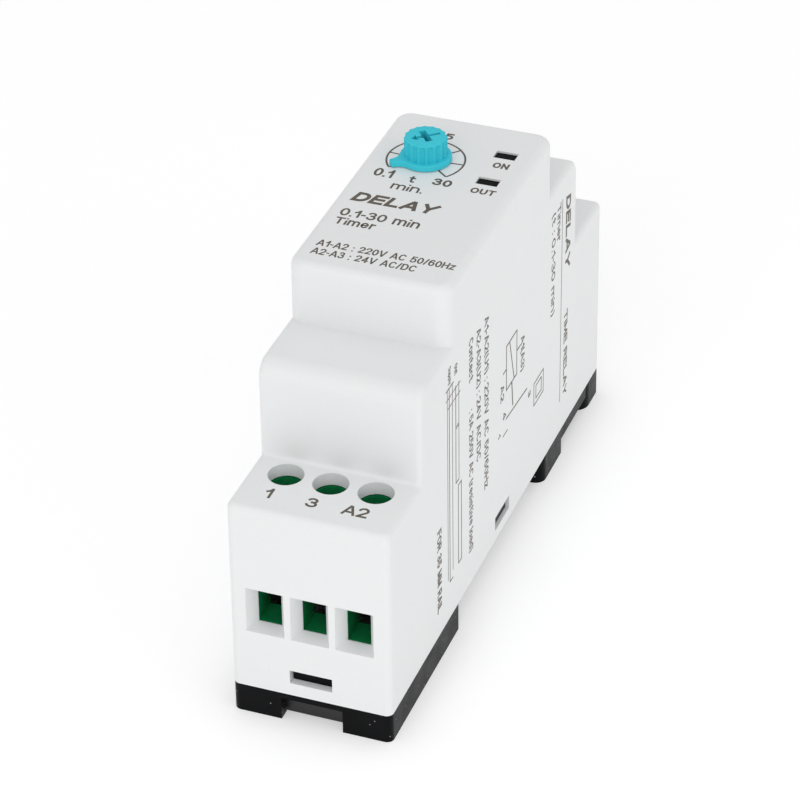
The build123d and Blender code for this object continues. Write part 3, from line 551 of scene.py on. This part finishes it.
def make_finishes(looks):
    """Every finish of the timer, by the name of its material slot."""
    made = {
        "cover_plastic": cover_plastic(looks),
        "base_plastic": base_plastic(looks),
        "latch_plastic": moulded("latch_plastic", (0.008, 0.008, 0.009), 0.36, spread=0.2),
        "knob_plastic": knob_plastic(looks),
        "terminal_plastic": terminal_plastic(looks),
        # The indicator lenses carry painted shade: their near-black colour stands in for the dark inside of the
        # openings.
        "lens_plastic": painted_shade_lens(),
        "screw_steel": plated_steel("screw_steel", (0.66, 0.66, 0.63), 0.0007),
        "cage_steel": plated_steel("cage_steel", (0.62, 0.63, 0.61), 0.0011, (0, math.radians(90), 0)),
        "contact_tin": plated_steel("contact_tin", (0.78, 0.77, 0.72), 0.0013, (0, 0, math.radians(90))),
        "spring_steel": plated_steel("spring_steel", (0.58, 0.58, 0.59), 0.0004),
        "board_laminate": board_laminate(),
        "header_plastic": moulded("header_plastic", (0.012, 0.012, 0.013), 0.45, spread=0.2),
        "pot_plastic": moulded("pot_plastic", (0.015, 0.07, 0.33), 0.28, relief=0.000004, spread=0.1),
        "pot_track_film": moulded("pot_track_film", (0.014, 0.013, 0.012), 0.55, 0.00008, 0.000005,
                                  0.002, 0.3),
        "rotor_plastic": moulded("rotor_plastic", (0.010, 0.010, 0.011), 0.45, spread=0.2),
        "wiper_brass": sprung_brass("wiper_brass", (0.78, 0.57, 0.25)),
        "led_plastic": clear_encapsulant(),
        "relay_plastic": moulded("relay_plastic", (0.010, 0.010, 0.011), 0.24, relief=0.000004,
                                 spread=0.25),
        "relay_iron": plated_steel("relay_iron", (0.50, 0.49, 0.47), 0.0015),
        "winding_copper": enamelled_copper(),
        "bobbin_plastic": moulded("bobbin_plastic", (0.68, 0.64, 0.52), 0.42, spread=0.05),
        "leaf_brass": sprung_brass("leaf_brass", (0.74, 0.50, 0.27)),
        "can_sleeve": shrink_sleeve(),
        "film_plastic": lacquered("film_plastic", (0.60, 0.36, 0.03)),
        "varistor_lacquer": lacquered("varistor_lacquer", (0.015, 0.09, 0.40)),
        "chip_plastic": moulded("chip_plastic", (0.013, 0.013, 0.014), 0.5, 0.0001, 0.00001, 0.004, 0.2),
        "resistor_lacquer": lacquered("resistor_lacquer", (0.25, 0.48, 0.55), banded=True),
        "printed_ink": printed_ink(looks),
    }
    return {name: skin.material for name, skin in made.items()}


def finish(name):
    """The material that bears exactly this name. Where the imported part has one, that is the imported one, and
    the finish made above, renamed by Blender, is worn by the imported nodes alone."""
    found = bpy.data.materials.get(name)
    if found is None:
        raise RuntimeError(f"make the finishes first: there is no material {name}")
    return found


# ---- Meshes ----
def linked(name, mesh):
    made = bpy.data.objects.new(name, mesh)
    bpy.context.scene.collection.objects.link(made)
    return made


def baked(holder):
    """The object's evaluated shape as a plain mesh; the object is removed."""
    bpy.context.view_layer.update()
    shape = bpy.data.meshes.new_from_object(holder.evaluated_get(bpy.context.evaluated_depsgraph_get()))
    data = holder.data
    bpy.data.objects.remove(holder)
    if data.users == 0:
        (bpy.data.curves if isinstance(data, bpy.types.Curve) else bpy.data.meshes).remove(data)
    return shape


def smoothed(mesh, angle=32.0):
    mesh.polygons.foreach_set("use_smooth", [True] * len(mesh.polygons))
    mesh.set_sharp_from_angle(angle=math.radians(angle))
    return mesh


def outward(mesh, merge=1e-8):
    """Merges doubles and turns every face outwards."""
    form = bmesh.new()
    form.from_mesh(mesh)
    bmesh.ops.remove_doubles(form, verts=form.verts, dist=merge)
    bmesh.ops.dissolve_degenerate(form, edges=form.edges, dist=merge)
    bmesh.ops.recalc_face_normals(form, faces=form.faces)
    form.to_mesh(mesh)
    form.free()
    return mesh


def dressed(mesh, material):
    mesh.materials.clear()
    mesh.materials.append(finish(material))
    mesh.polygons.foreach_set("material_index", [0] * len(mesh.polygons))
    return mesh


def piece(name, mesh, body, material, replaces=()):
    """A finished piece, riding on its body."""
    made = linked(name, dressed(mesh, material))
    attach(made, body)
    if replaces:
        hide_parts(*replaces)
    return made


def poured(form, name):
    """The form as a new mesh; the form is freed."""
    made = bpy.data.meshes.new(name)
    form.to_mesh(made)
    form.free()
    return made


def joined(meshes):
    form = bmesh.new()
    for mesh in meshes:
        form.from_mesh(mesh)
        bpy.data.meshes.remove(mesh)
    return poured(form, "joined")


def prism(outline, low, high, rim=0.0):
    """A closed upright prism over a flat outline, its top edge rounded by rim."""
    form = bmesh.new()
    floor = [form.verts.new((x, y, low)) for x, y in outline]
    face = form.faces.new(floor)
    grown = bmesh.ops.extrude_face_region(form, geom=[face])
    top = [v for v in grown["geom"] if isinstance(v, bmesh.types.BMVert)]
    bmesh.ops.translate(form, verts=top, vec=(0, 0, high - low))
    bmesh.ops.recalc_face_normals(form, faces=form.faces)
    if rim:
        edges = [e for e in form.edges if all(abs(v.co.z - high) < 1e-9 for v in e.verts)]
        bmesh.ops.bevel(form, geom=edges, offset=rim, segments=4, profile=0.5, affect="EDGES")
    return poured(form, "prism")


def circle(radius, count, centre=(0.0, 0.0)):
    return [(centre[0] + radius * math.cos(math.tau * i / count),
             centre[1] + radius * math.sin(math.tau * i / count)) for i in range(count)]


def combined(first, parts):
    """A mesh with others added to it or cut out of it, exactly."""
    base = linked("combined", first)
    helpers = []
    for way, mesh in parts:
        helper = linked("helper", mesh)
        helpers.append(helper)
        change = base.modifiers.new(way, "BOOLEAN")
        change.operation = way
        change.solver = "EXACT"
        change.object = helper
    made = baked(base)
    for helper in helpers:
        bpy.data.objects.remove(helper)
    return made


# ---- Drawing on a surface ----
def stroke_path(items):
    """Corners of a stroke, its arcs cut into short runs."""
    points = []
    for item in items:
        if len(item) == 2:
            points.append(item)
            continue
        x, y, wide, tall, first, last = item
        runs = max(2, round(abs(last - first) / 18))
        turns = [math.radians(first + (last - first) * i / runs) for i in range(runs + 1)]
        points += [(x + wide * math.cos(turn), y + tall * math.sin(turn)) for turn in turns]
    return points


def layered(mesh, order):
    """Makes a stroke a little thinner than the one before it, so that no two tops share a plane."""
    mesh.transform(Matrix.Diagonal((1, 1, 1 - 0.08 * (order % 4), 1)))
    return mesh


def capped(path, reach):
    """A stroke's path with its open ends run on by reach; a single point becomes a dot."""
    if len(path) == 1:
        return [path[0] - Vector((0, reach)), path[0] + Vector((0, reach))]
    if (path[0] - path[-1]).length > 1e-9:
        path[0] += (path[0] - path[1]).normalized() * reach
        path[-1] += (path[-1] - path[-2]).normalized() * reach
    return path


def lettering(words, left, right, bottom, top, weight, lean):
    """Letters as raised strokes of even width that fill a box; thickness runs from -0.5 to 0.5."""
    tall = top - bottom - weight
    widths = [GLYPHS[letter][0] for letter in words]
    spare = right - left - len(words) * weight
    scale = spare / (sum(widths) + (len(words) - 1) * LETTER_GAP) if len(words) > 1 or widths[0] else 0.0
    strokes, x = [], left + weight / 2
    for letter, wide in zip(words, widths):
        for items in GLYPHS[letter][1:]:
            path = [(x + a * wide * scale + lean * b * tall, bottom + weight / 2 + b * tall)
                    for a, b in stroke_path(items)]
            path = capped([Vector(point) for point in path], weight / 2)
            strokes.append(layered(ruled(path, weight), len(strokes)))
        x += (wide + LETTER_GAP) * scale + weight
    return joined(strokes)


def ruled(points, width):
    """A line of even width through points, with mitred corners; thickness runs from -0.5 to 0.5."""
    path = [Vector(p) for p in points]
    closed = (path[0] - path[-1]).length < 1e-9
    path = path[:-1] if closed else path
    count = len(path)
    sides = []
    for i, point in enumerate(path):
        before = path[i - 1] if closed or i else None
        after = path[(i + 1) % count] if closed or i + 1 < count else None
        ways = [(b - a).normalized() for a, b in ((before, point), (point, after)) if a and b]
        across = sum((Vector((-w.y, w.x)) for w in ways), Vector((0, 0))).normalized()
        reach = width / 2 / max(0.6, across.dot(Vector((-ways[0].y, ways[0].x))))
        sides.append((point + across * reach, point - across * reach))
    form = bmesh.new()
    rows = [[form.verts.new((p.x, p.y, z)) for p, z in ((a, 0.5), (b, 0.5), (b, -0.5), (a, -0.5))]
            for a, b in sides]
    for i in range(count if closed else count - 1):
        here, there = rows[i], rows[(i + 1) % count]
        for k in range(4):
            form.faces.new((here[k], here[(k + 1) % 4], there[(k + 1) % 4], there[k]))
    if not closed:
        form.faces.new(rows[0])
        form.faces.new(rows[-1])
    bmesh.ops.recalc_face_normals(form, faces=form.faces)
    return poured(form, "ruled")


def printed(name, meshes, surface):
    """Flat drawings in millimetres become one thin print on a surface, riding on the body."""
    corner, right, up = surface
    out = right.cross(up)
    mesh = joined(meshes)
    thickness = bpy.context.scene.timer_finishes.ink_thickness
    sunk = thickness * 0.4
    middle = corner + out * (thickness - sunk) / 2
    columns = (right * MM, up * MM, out * (thickness + sunk), middle)
    mesh.transform(Matrix([[column[i] for column in columns] for i in range(3)] + [(0, 0, 0, 1)]))
    return piece(name, mesh, "body", "printed_ink")


# ---- Geometry Nodes ----
class Recipe(Nodes):
    """A Geometry Nodes tree with named inputs, run once on an empty mesh."""

    def __init__(self, name, sizes):
        self.tree = bpy.data.node_groups.new(name, "GeometryNodeTree")
        self.sizes = sizes
        self.tree.interface.new_socket("Geometry", in_out="INPUT", socket_type="NodeSocketGeometry")
        for key, value in sizes.items():
            kind = "NodeSocketInt" if isinstance(value, int) else "NodeSocketFloat"
            socket = self.tree.interface.new_socket(key, in_out="INPUT", socket_type=kind)
            socket.default_value = value
        self.tree.interface.new_socket("Geometry", in_out="OUTPUT", socket_type="NodeSocketGeometry")
        self.entry = self.tree.nodes.new("NodeGroupInput")
        self.exit = self.tree.nodes.new("NodeGroupOutput")

    def size(self, key):
        return self.entry.outputs[key]

    def vector(self, x=0.0, y=0.0, z=0.0):
        return self.add("ShaderNodeCombineXYZ", X=x, Y=y, Z=z).outputs[0]

    def shape(self, kind, settings=None, **inputs):
        return self.add("GeometryNode" + kind, settings, **inputs).outputs[0]

    def raised(self, geometry, height):
        return self.shape("Transform", Geometry=geometry, Translation=self.vector(z=height))

    def joined(self, *shapes):
        node = self.tree.nodes.new("GeometryNodeJoinGeometry")
        for shape in reversed(shapes):
            self.tree.links.new(shape, node.inputs[0])
        return node.outputs[0]

    def run(self, geometry, material):
        """Ends the tree, evaluates it and gives the mesh."""
        real = self.shape("RealizeInstances", Geometry=geometry)
        done = self.shape("SetMaterial", Geometry=real, Material=finish(material))
        self.set(self.exit.inputs[0], done)
        holder = linked("recipe", bpy.data.meshes.new("recipe"))
        change = holder.modifiers.new("recipe", "NODES")
        change.node_group = self.tree
        for item in self.tree.interface.items_tree:
            if item.in_out == "INPUT" and item.name in self.sizes:
                change[item.identifier] = self.sizes[item.name]
        mesh = baked(holder)
        bpy.data.node_groups.remove(self.tree)
        return mesh


def fluted_grip(sizes):
    """The knob's grip: a cylinder whose radius dips in each groove and runs out below the rim."""
    height = sizes.height - sizes.gap - sizes.skirt_height * 0.5
    recipe = Recipe("fluted_grip", {
        "Radius": sizes.grip_radius, "Height": height, "Flutes": sizes.flutes,
        "Flute Depth": sizes.flute_depth, "Flute End": sizes.flute_top, "Rim": 0.20 * MM,
        "Facet": 0.17 * MM,
    })
    maths, size, vector, shape = recipe.maths, recipe.size, recipe.vector, recipe.shape
    radius, tall = size("Radius"), size("Height")
    tube = shape("MeshCylinder", {"fill_type": "NGON"}, Vertices=sizes.flutes * 16, Side_Segments=64,
                 Radius=radius, Depth=tall)
    tube = recipe.raised(tube, maths("MULTIPLY", tall, 0.5))
    spot = recipe.add("ShaderNodeSeparateXYZ", Vector=shape("InputPosition"))
    turn = maths("DIVIDE", maths("ARCTAN2", spot.outputs[1], spot.outputs[0]), math.tau)
    turn = maths("MULTIPLY", maths("ADD", turn, 1.0), size("Flutes"))
    side = maths("ABSOLUTE", maths("MULTIPLY_ADD", maths("FRACT", turn), 2.0, -1.0))
    bowl = maths("POWER", maths("DIVIDE", side, 0.82), 2.0)
    bowl = maths("MAXIMUM", maths("SUBTRACT", 1.0, bowl), 0.0)
    below = maths("SUBTRACT", tall, spot.outputs[2])
    droop = maths("MULTIPLY", maths("POWER", side, 2.0), 0.34 * MM)
    inside = maths("SUBTRACT", maths("SUBTRACT", below, size("Flute End")), droop)
    mask = recipe.add("ShaderNodeMapRange", {"interpolation_type": "SMOOTHSTEP"}, Value=inside,
                      n1=0.0, n2=0.14 * MM, n3=0.0, n4=1.0).outputs[0]
    dip = maths("MULTIPLY", maths("MULTIPLY", bowl, mask), size("Flute Depth"))
    flat = maths("SUBTRACT", 1.0, maths("POWER", side, 2.0))
    flat = maths("MULTIPLY", flat, size("Facet"))
    flat = maths("MULTIPLY", flat, maths("SUBTRACT", 1.0, mask))
    near = maths("DIVIDE", maths("SUBTRACT", size("Rim"), below), size("Rim"))
    near = maths("MAXIMUM", near, 0.0)
    curve = maths("SQRT", maths("SUBTRACT", 1.0, maths("MULTIPLY", near, near)))
    round_off = maths("MULTIPLY", maths("SUBTRACT", 1.0, curve), size("Rim"))
    cut = maths("ADD", maths("ADD", dip, flat), round_off)
    ratio = maths("MULTIPLY", maths("DIVIDE", cut, radius), -1.0)
    shift = vector(maths("MULTIPLY", spot.outputs[0], ratio), maths("MULTIPLY", spot.outputs[1], ratio))
    shaped = shape("SetPosition", Geometry=tube, Offset=shift)
    return recipe.run(shaped, "knob_plastic")


def wound_wire(radius, wire, turns, rise, sides, steps, material):
    """Round wire wound into a coil along Z from the origin."""
    recipe = Recipe("wound_wire", {"Radius": radius, "Wire": wire, "Turns": float(turns), "Rise": rise,
                                   "Sides": sides, "Steps": steps})
    size, shape = recipe.size, recipe.shape
    path = shape("CurveSpiral", Resolution=size("Steps"), Rotations=size("Turns"), Start_Radius=size("Radius"),
                 End_Radius=size("Radius"), Height=size("Rise"))
    ring = shape("CurvePrimitiveCircle", Resolution=size("Sides"), Radius=size("Wire"))
    path = shape("SetCurveNormal", {"mode": "Z_UP"}, Curve=path)
    coil = shape("CurveToMesh", Curve=path, Profile_Curve=ring, Fill_Caps=True)
    return recipe.run(coil, material)


def dial_ring(sizes):
    """The dial's ring and its radial marks, round the origin."""
    recipe = Recipe("dial_ring", {
        "Radius": sizes.radius / MM, "Line": sizes.line / MM, "Start": sizes.start, "Sweep": sizes.sweep,
        "Marks": sizes.marks, "Mark Length": sizes.mark_length / MM,
    })
    maths, size, vector, shape = recipe.maths, recipe.size, recipe.vector, recipe.shape
    arc = shape("CurveArc", Resolution=160, Radius=size("Radius"), Start_Angle=size("Start"),
                Sweep_Angle=size("Sweep"))
    arc = shape("SetCurveNormal", {"mode": "Z_UP"}, Curve=arc)
    strip = shape("CurvePrimitiveQuadrilateral", Width=size("Line"), Height=1.0)
    ring = shape("CurveToMesh", Curve=arc, Profile_Curve=strip, Fill_Caps=True)
    bar = shape("MeshCube", Size=vector(size("Mark Length"), size("Line"), 0.9))
    middle = maths("MULTIPLY_ADD", size("Mark Length"), -0.5, size("Radius"))
    bar = shape("Transform", Geometry=bar, Translation=vector(x=middle))
    spots = shape("MeshLine", Count=size("Marks"), Offset=(0, 0, 0))
    step = maths("DIVIDE", size("Sweep"), maths("SUBTRACT", size("Marks"), 1.0))
    angle = maths("MULTIPLY_ADD", shape("InputIndex"), step, size("Start"))
    marks = shape("InstanceOnPoints", Points=spots, Instance=bar, Rotation=vector(z=angle))
    return recipe.run(recipe.joined(ring, marks), "printed_ink")


def clamp_screw(tall):
    """A slotted clamp screw standing on the origin: head, threaded shank and coned tip."""
    chamfer = 0.3 * MM
    recipe = Recipe("clamp_screw", {
        "Head Radius": 2.1 * MM, "Head Height": 1.8 * MM, "Height": tall, "Core": 1.19 * MM,
        "Thread": 1.45 * MM, "Pitch": 0.5 * MM, "Slot": 0.7 * MM, "Slot Depth": 0.9 * MM,
    })
    maths, size, vector, shape = recipe.maths, recipe.size, recipe.vector, recipe.shape
    height, head, wide = (size(key) for key in ("Height", "Head Height", "Head Radius"))
    shank = maths("SUBTRACT", height, head)
    core = shape("MeshCylinder", Vertices=40, Radius=size("Core"), Depth=shank)
    core = recipe.raised(core, maths("MULTIPLY", shank, 0.5))
    run = maths("SUBTRACT", shank, maths("MULTIPLY", size("Pitch"), 1.6))
    path = shape("CurveSpiral", Resolution=40, Rotations=maths("DIVIDE", run, size("Pitch")),
                 Start_Radius=size("Core"), End_Radius=size("Core"), Height=run)
    path = shape("SetCurveNormal", {"mode": "Z_UP"}, Curve=path)
    crest = maths("SUBTRACT", size("Thread"), size("Core"))
    ridge = shape("CurvePrimitiveCircle", Resolution=4, Radius=crest)
    thread = shape("CurveToMesh", Curve=path, Profile_Curve=ridge, Fill_Caps=True)
    thread = recipe.raised(thread, maths("MULTIPLY", size("Pitch"), 0.8))
    disc_tall = maths("SUBTRACT", head, chamfer)
    disc = shape("MeshCylinder", Vertices=64, Radius=wide, Depth=disc_tall)
    disc = recipe.raised(disc, maths("MULTIPLY_ADD", disc_tall, 0.5, shank))
    brim = shape("MeshCone", Vertices=64, Radius_Top=maths("SUBTRACT", wide, chamfer), Radius_Bottom=wide,
                 Depth=chamfer)
    brim = recipe.raised(brim, maths("SUBTRACT", height, chamfer))
    deep = maths("MULTIPLY", size("Slot Depth"), 2.0)
    slot = shape("MeshCube", Size=vector(size("Slot"), 10 * MM, deep))
    slot = recipe.raised(slot, height)
    whole = recipe.add("GeometryNodeMeshBoolean", {"operation": "UNION", "solver": "EXACT"})
    recipe.tree.links.new(disc, whole.inputs[1])
    recipe.tree.links.new(brim, whole.inputs[1])
    slotted = recipe.add("GeometryNodeMeshBoolean", {"operation": "DIFFERENCE", "solver": "EXACT"})
    recipe.tree.links.new(whole.outputs[0], slotted.inputs[0])
    recipe.tree.links.new(slot, slotted.inputs[1])
    return recipe.run(recipe.joined(core, thread, slotted.outputs[0]), "screw_steel")


# ---- Pieces ----
def turned(points, angle):
    c, s = math.cos(angle), math.sin(angle)
    return [(a * c - b * s, a * s + b * c) for a, b in points]


def skirt_outline(sizes):
    """Plan of the skirt with its pointer, the pointer lying along +X."""
    reach, ring = sizes.pointer_radius, sizes.skirt_radius
    foot = math.radians(27)
    start = Vector((ring * math.cos(foot), ring * math.sin(foot)))
    tip = Vector((reach - 0.12 * MM, 0.56 * MM))
    bend = Vector((reach - 1.35 * MM, 0.56 * MM))
    side = []
    for i in range(11):
        t = i / 10
        side.append(tuple(tip * (1 - t) ** 2 + bend * 2 * t * (1 - t) + start * t ** 2))
    upper = [(reach, 0.42 * MM), (reach - 0.03 * MM, 0.51 * MM)] + side
    angles = [foot + (math.tau - 2 * foot) * i / 96 for i in range(1, 96)]
    arc = [(ring * math.cos(angle), ring * math.sin(angle)) for angle in angles]
    lower = [(a, -b) for a, b in reversed(upper)]
    return upper + arc + lower


def recess_outline():
    """Plan of the screwdriver recess, its arrow pointing along +X."""
    half = [(-2.10, 0.25), (-0.475, 0.25), (-0.475, 1.50), (0.475, 1.50), (0.475, 0.31), (1.32, 0.31),
            (1.18, 0.74)]
    whole = [(a, -b) for a, b in half] + [(2.12, 0.0)] + half[::-1]
    return [(a * MM, b * MM) for a, b in whole]


class TIMER_OT_finishes(bpy.types.Operator):
    """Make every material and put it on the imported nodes"""
    bl_idname = "timer.finishes"
    bl_label = "Finishes"

    def execute(self, context):
        made = make_finishes(context.scene.timer_finishes)
        slots = {row["node"]: row["material_slot"] for row in frame["record"]["subparts"]}
        for name, node in frame["nodes"].items():
            for holder in node.material_slots:
                holder.material = made[slots[name]]
        return {"FINISHED"}


class TIMER_OT_knob(bpy.types.Operator):
    """Build the fluted time knob with its pointer and screwdriver recess"""
    bl_idname = "timer.knob"
    bl_label = "Time Knob"

    def execute(self, context):
        sizes = context.scene.timer_knob
        face = KNOB_CENTRE.z
        skirt_low = face + sizes.gap
        grip = fluted_grip(sizes)
        grip.transform(Matrix.Translation((0, 0, skirt_low + sizes.skirt_height * 0.5)))
        skirt = prism(turned(skirt_outline(sizes), sizes.pointer_angle), skirt_low,
                      skirt_low + sizes.skirt_height, 0.2 * MM)
        boss = prism(circle(2.6 * MM, 72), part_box("time_knob")[0].z, skirt_low + 0.3 * MM)
        top = face + sizes.height
        recess = prism(turned(recess_outline(), sizes.pointer_angle), top - sizes.recess_depth, top + MM)
        bore_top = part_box("pot_rotor")[1].z + 0.1 * MM
        bore = prism(circle(1.52 * MM, 48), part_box("time_knob")[0].z - MM, bore_top)
        well = [(a * MM, b * MM) for a, b in ((-0.46, -1.40), (0.46, -1.40), (0.46, 1.40), (-0.46, 1.40))]
        eye = prism(turned(well, sizes.pointer_angle), bore_top - 0.3 * MM,
                    top - sizes.recess_depth + 0.1 * MM)
        mesh = combined(skirt, [("UNION", grip), ("UNION", boss), ("DIFFERENCE", recess),
                                ("DIFFERENCE", bore), ("DIFFERENCE", eye)])
        mesh.transform(Matrix.Translation((KNOB_CENTRE.x, KNOB_CENTRE.y, 0)))
        piece("fluted_knob", smoothed(outward(mesh, 1e-7), 30), "knob", "knob_plastic",
              ["time_knob"])
        return {"FINISHED"}


class TIMER_OT_dial(bpy.types.Operator):
    """Print the dial's ring and marks round the knob"""
    bl_idname = "timer.dial"
    bl_label = "Dial"

    def execute(self, context):
        mesh = dial_ring(context.scene.timer_dial)
        centre = (KNOB_CENTRE - FACE[0]) / MM
        mesh.transform(Matrix.Translation((centre.x, centre.y, 0)))
        printed("dial_print", [mesh], FACE)
        return {"FINISHED"}


class TIMER_OT_legends(bpy.types.Operator):
    """Print the words on the face, beside the indicators and on both terminal steps"""
    bl_idname = "timer.legends"
    bl_label = "Legends"

    def execute(self, context):
        printed("face_print", [lettering(*row) for row in FACE_WORDS], FACE)
        for end, surface in (("near", NEAR_STEP), ("far", FAR_STEP)):
            printed(f"terminal_print_{end}", [lettering(*row) for row in STEP_WORDS[end]], surface)
        return {"FINISHED"}


class TIMER_OT_side_print(bpy.types.Operator):
    """Print the wiring diagram, the timing chart and the words on the right side"""
    bl_idname = "timer.side_print"
    bl_label = "Side Print"

    def execute(self, context):
        words = [lettering(text, -first, -last, low, high, weight, lean)
                 for text, first, last, low, high, weight, lean in SIDE_WORDS]
        lines = [layered(ruled([(-height, distance) for height, distance in points], width), order)
                 for order, (points, width) in enumerate(SIDE_LINES)]
        printed("side_words", words, RIGHT_SIDE)
        printed("side_diagram", lines, RIGHT_SIDE)
        return {"FINISHED"}


class TIMER_OT_screws(bpy.types.Operator):
    """Build the six slotted, threaded clamp screws"""
    bl_idname = "timer.screws"
    bl_label = "Clamp Screws"

    def execute(self, context):
        low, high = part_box("terminal_screw_1")
        pattern = smoothed(clamp_screw(high.z - low.z), 35)
        for number in SCREW_NUMBERS:
            low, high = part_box(f"terminal_screw_{number}")
            mesh = pattern.copy()
            mesh.transform(Matrix.Translation(((low.x + high.x) / 2, (low.y + high.y) / 2, low.z))
                           @ Matrix.Rotation(SCREW_TURN * number, 4, "Z"))
            piece(f"clamp_screw_{number}", mesh, f"screw_{number}", "screw_steel",
                  [f"terminal_screw_{number}"])
        bpy.data.meshes.remove(pattern)
        return {"FINISHED"}


class TIMER_OT_catches(bpy.types.Operator):
    """Build the raised faces of the base's two catches, seen through the cover's side slots"""
    bl_idname = "timer.catches"
    bl_label = "Side Catches"

    def execute(self, context):
        middle = (COVER_LOW.y + COVER_HIGH.y) / 2
        inner, outer, half = COVER_HIGH.x - 1.4 * MM, COVER_HIGH.x - 0.5 * MM, 2.75 * MM
        low, high = COVER_LOW.z + 1.85 * MM, COVER_LOW.z + 3.64 * MM
        for side, name in ((1, "right"), (-1, "left")):
            corners = ((inner, -half), (outer, -half), (outer, half), (inner, half))
            plan = [(side * x, middle + y) for x, y in corners]
            piece(f"catch_face_{name}", outward(prism(plan, low, high, 0.12 * MM)), "body", "base_plastic")
        return {"FINISHED"}


class TIMER_OT_coils(bpy.types.Operator):
    """Wind the latch spring and the relay's coil"""
    bl_idname = "timer.coils"
    bl_label = "Spring and Winding"

    def execute(self, context):
        low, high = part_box("latch_spring")
        spring = self.wound(low, high, 0.17 * MM, 12, 40, "spring_steel", turns=8)
        made = piece("latch_coil", spring, "body", "spring_steel", ["latch_spring"])
        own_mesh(made)
        winding = self.wound(*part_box("relay_winding"), 0.11 * MM, 6, 30, "winding_copper")
        piece("coil_winding", winding, "body", "winding_copper", ["relay_winding"])
        return {"FINISHED"}

    def wound(self, low, high, wire, sides, steps, material, turns=None):
        """A coil that fills a box along Y, of wire of that radius; close wound unless turns are given."""
        rise = high.y - low.y - 2 * wire
        coil = wound_wire((high.x - low.x) / 2 - wire, wire, turns or round(rise / (2.02 * wire)), rise, sides,
                          steps, material)
        coil.transform(Matrix.Translation(((low.x + high.x) / 2, low.y + wire, (low.z + high.z) / 2))
                       @ Matrix.Rotation(math.radians(-90), 4, "X"))
        return smoothed(coil, 60)


class TIMER_OT_stage(bpy.types.Operator):
    """Lay the pale floor and set the soft lights and the camera"""
    bl_idname = "timer.stage"
    bl_label = "Stage"

    def execute(self, context):
        sizes = context.scene.timer_stage
        skin = Surface("floor_paper")
        tone = skin.ramp(skin.noise(0.05, 4.0), 0.0, 1.0)
        skin.glaze(Base_Color=skin.between(tone, tinted(sizes.floor, 0.995), tinted(sizes.floor, 1.0)),
                   Roughness=skin.ramp(tone, 0.88, 0.94, 0.0, 1.0), Specular_IOR_Level=0.1,
                   Emission_Color=(1, 1, 1, 1), Emission_Strength=sizes.glow)
        skin.relief(skin.noise(0.0006, 3.0), 0.00001)
        mesh = bpy.data.meshes.new("floor")
        mesh.from_pydata([(-4, -4, 0), (4, -4, 0), (4, 4, 0), (-4, 4, 0)], [], [(0, 1, 2, 3)])
        mesh.materials.append(skin.material)
        linked("floor", mesh)
        world = bpy.data.worlds.new("studio")
        world.use_nodes = True
        sky = world.node_tree.nodes["Background"].inputs
        sky[0].default_value, sky[1].default_value = (1.0, 1.0, 1.0, 1.0), sizes.sky
        context.scene.world = world
        target = (CAD_BOX[0] + CAD_BOX[1]) / 2
        for name, place, side, power in (
                ("key_light", (0.06, -0.82, 0.58), 0.6, sizes.key),
                ("top_light", (0.05, 0.15, 0.95), 0.8, sizes.top),
                ("fill_light", (0.75, -0.25, 0.45), 0.6, sizes.fill)):
            lamp = bpy.data.lights.new(name, "AREA")
            lamp.size, lamp.energy, lamp.color = side, power, (1.0, 1.0, 1.0)
            holder = linked(name, lamp)
            holder.location = place
            holder.rotation_euler = (target - Vector(place)).to_track_quat("-Z", "Y").to_euler()
        camera = bpy.data.cameras.new("camera")
        camera.sensor_width, camera.lens = 36.0, sizes.lens
        camera.clip_start, camera.clip_end = 0.02, 20.0
        holder = linked("camera", camera)
        holder.location, holder.rotation_euler = sizes.camera_place, sizes.camera_turn
        context.scene.camera = holder
        context.scene.view_settings.view_transform = "Standard"
        return {"FINISHED"}


OPERATORS = (TIMER_OT_finishes, TIMER_OT_knob, TIMER_OT_dial, TIMER_OT_legends, TIMER_OT_side_print,
             TIMER_OT_screws, TIMER_OT_catches, TIMER_OT_coils, TIMER_OT_stage)


class TIMER_PT_panel(bpy.types.Panel):
    """Lists the timer's pieces and its stage"""
    bl_idname = "TIMER_PT_panel"
    bl_label = "Rail Timer"
    bl_space_type = "VIEW_3D"
    bl_region_type = "UI"
    bl_category = "Timer"

    def draw(self, context):
        for operator in OPERATORS:
            self.layout.operator(operator.bl_idname)
        for group in ("timer_finishes", "timer_knob", "timer_dial", "timer_stage"):
            box = self.layout.box()
            owner = getattr(context.scene, group)
            for name in owner.__annotations__:
                box.prop(owner, name)


GROUPS = {"timer_finishes": TimerFinishes, "timer_knob": TimerKnob, "timer_dial": TimerDial,
          "timer_stage": TimerStage}


def register():
    for kind in (*GROUPS.values(), *OPERATORS, TIMER_PT_panel):
        bpy.utils.register_class(kind)
    for name, kind in GROUPS.items():
        setattr(bpy.types.Scene, name, PointerProperty(type=kind))


def unregister():
    for name in GROUPS:
        delattr(bpy.types.Scene, name)
    for kind in (TIMER_PT_panel, *reversed(OPERATORS), *reversed(GROUPS.values())):
        bpy.utils.unregister_class(kind)


def main():
    register()
    for operator in OPERATORS:
        group, name = operator.bl_idname.split(".")
        getattr(getattr(bpy.ops, group), name)()


if __name__ == "__main__":
    main()
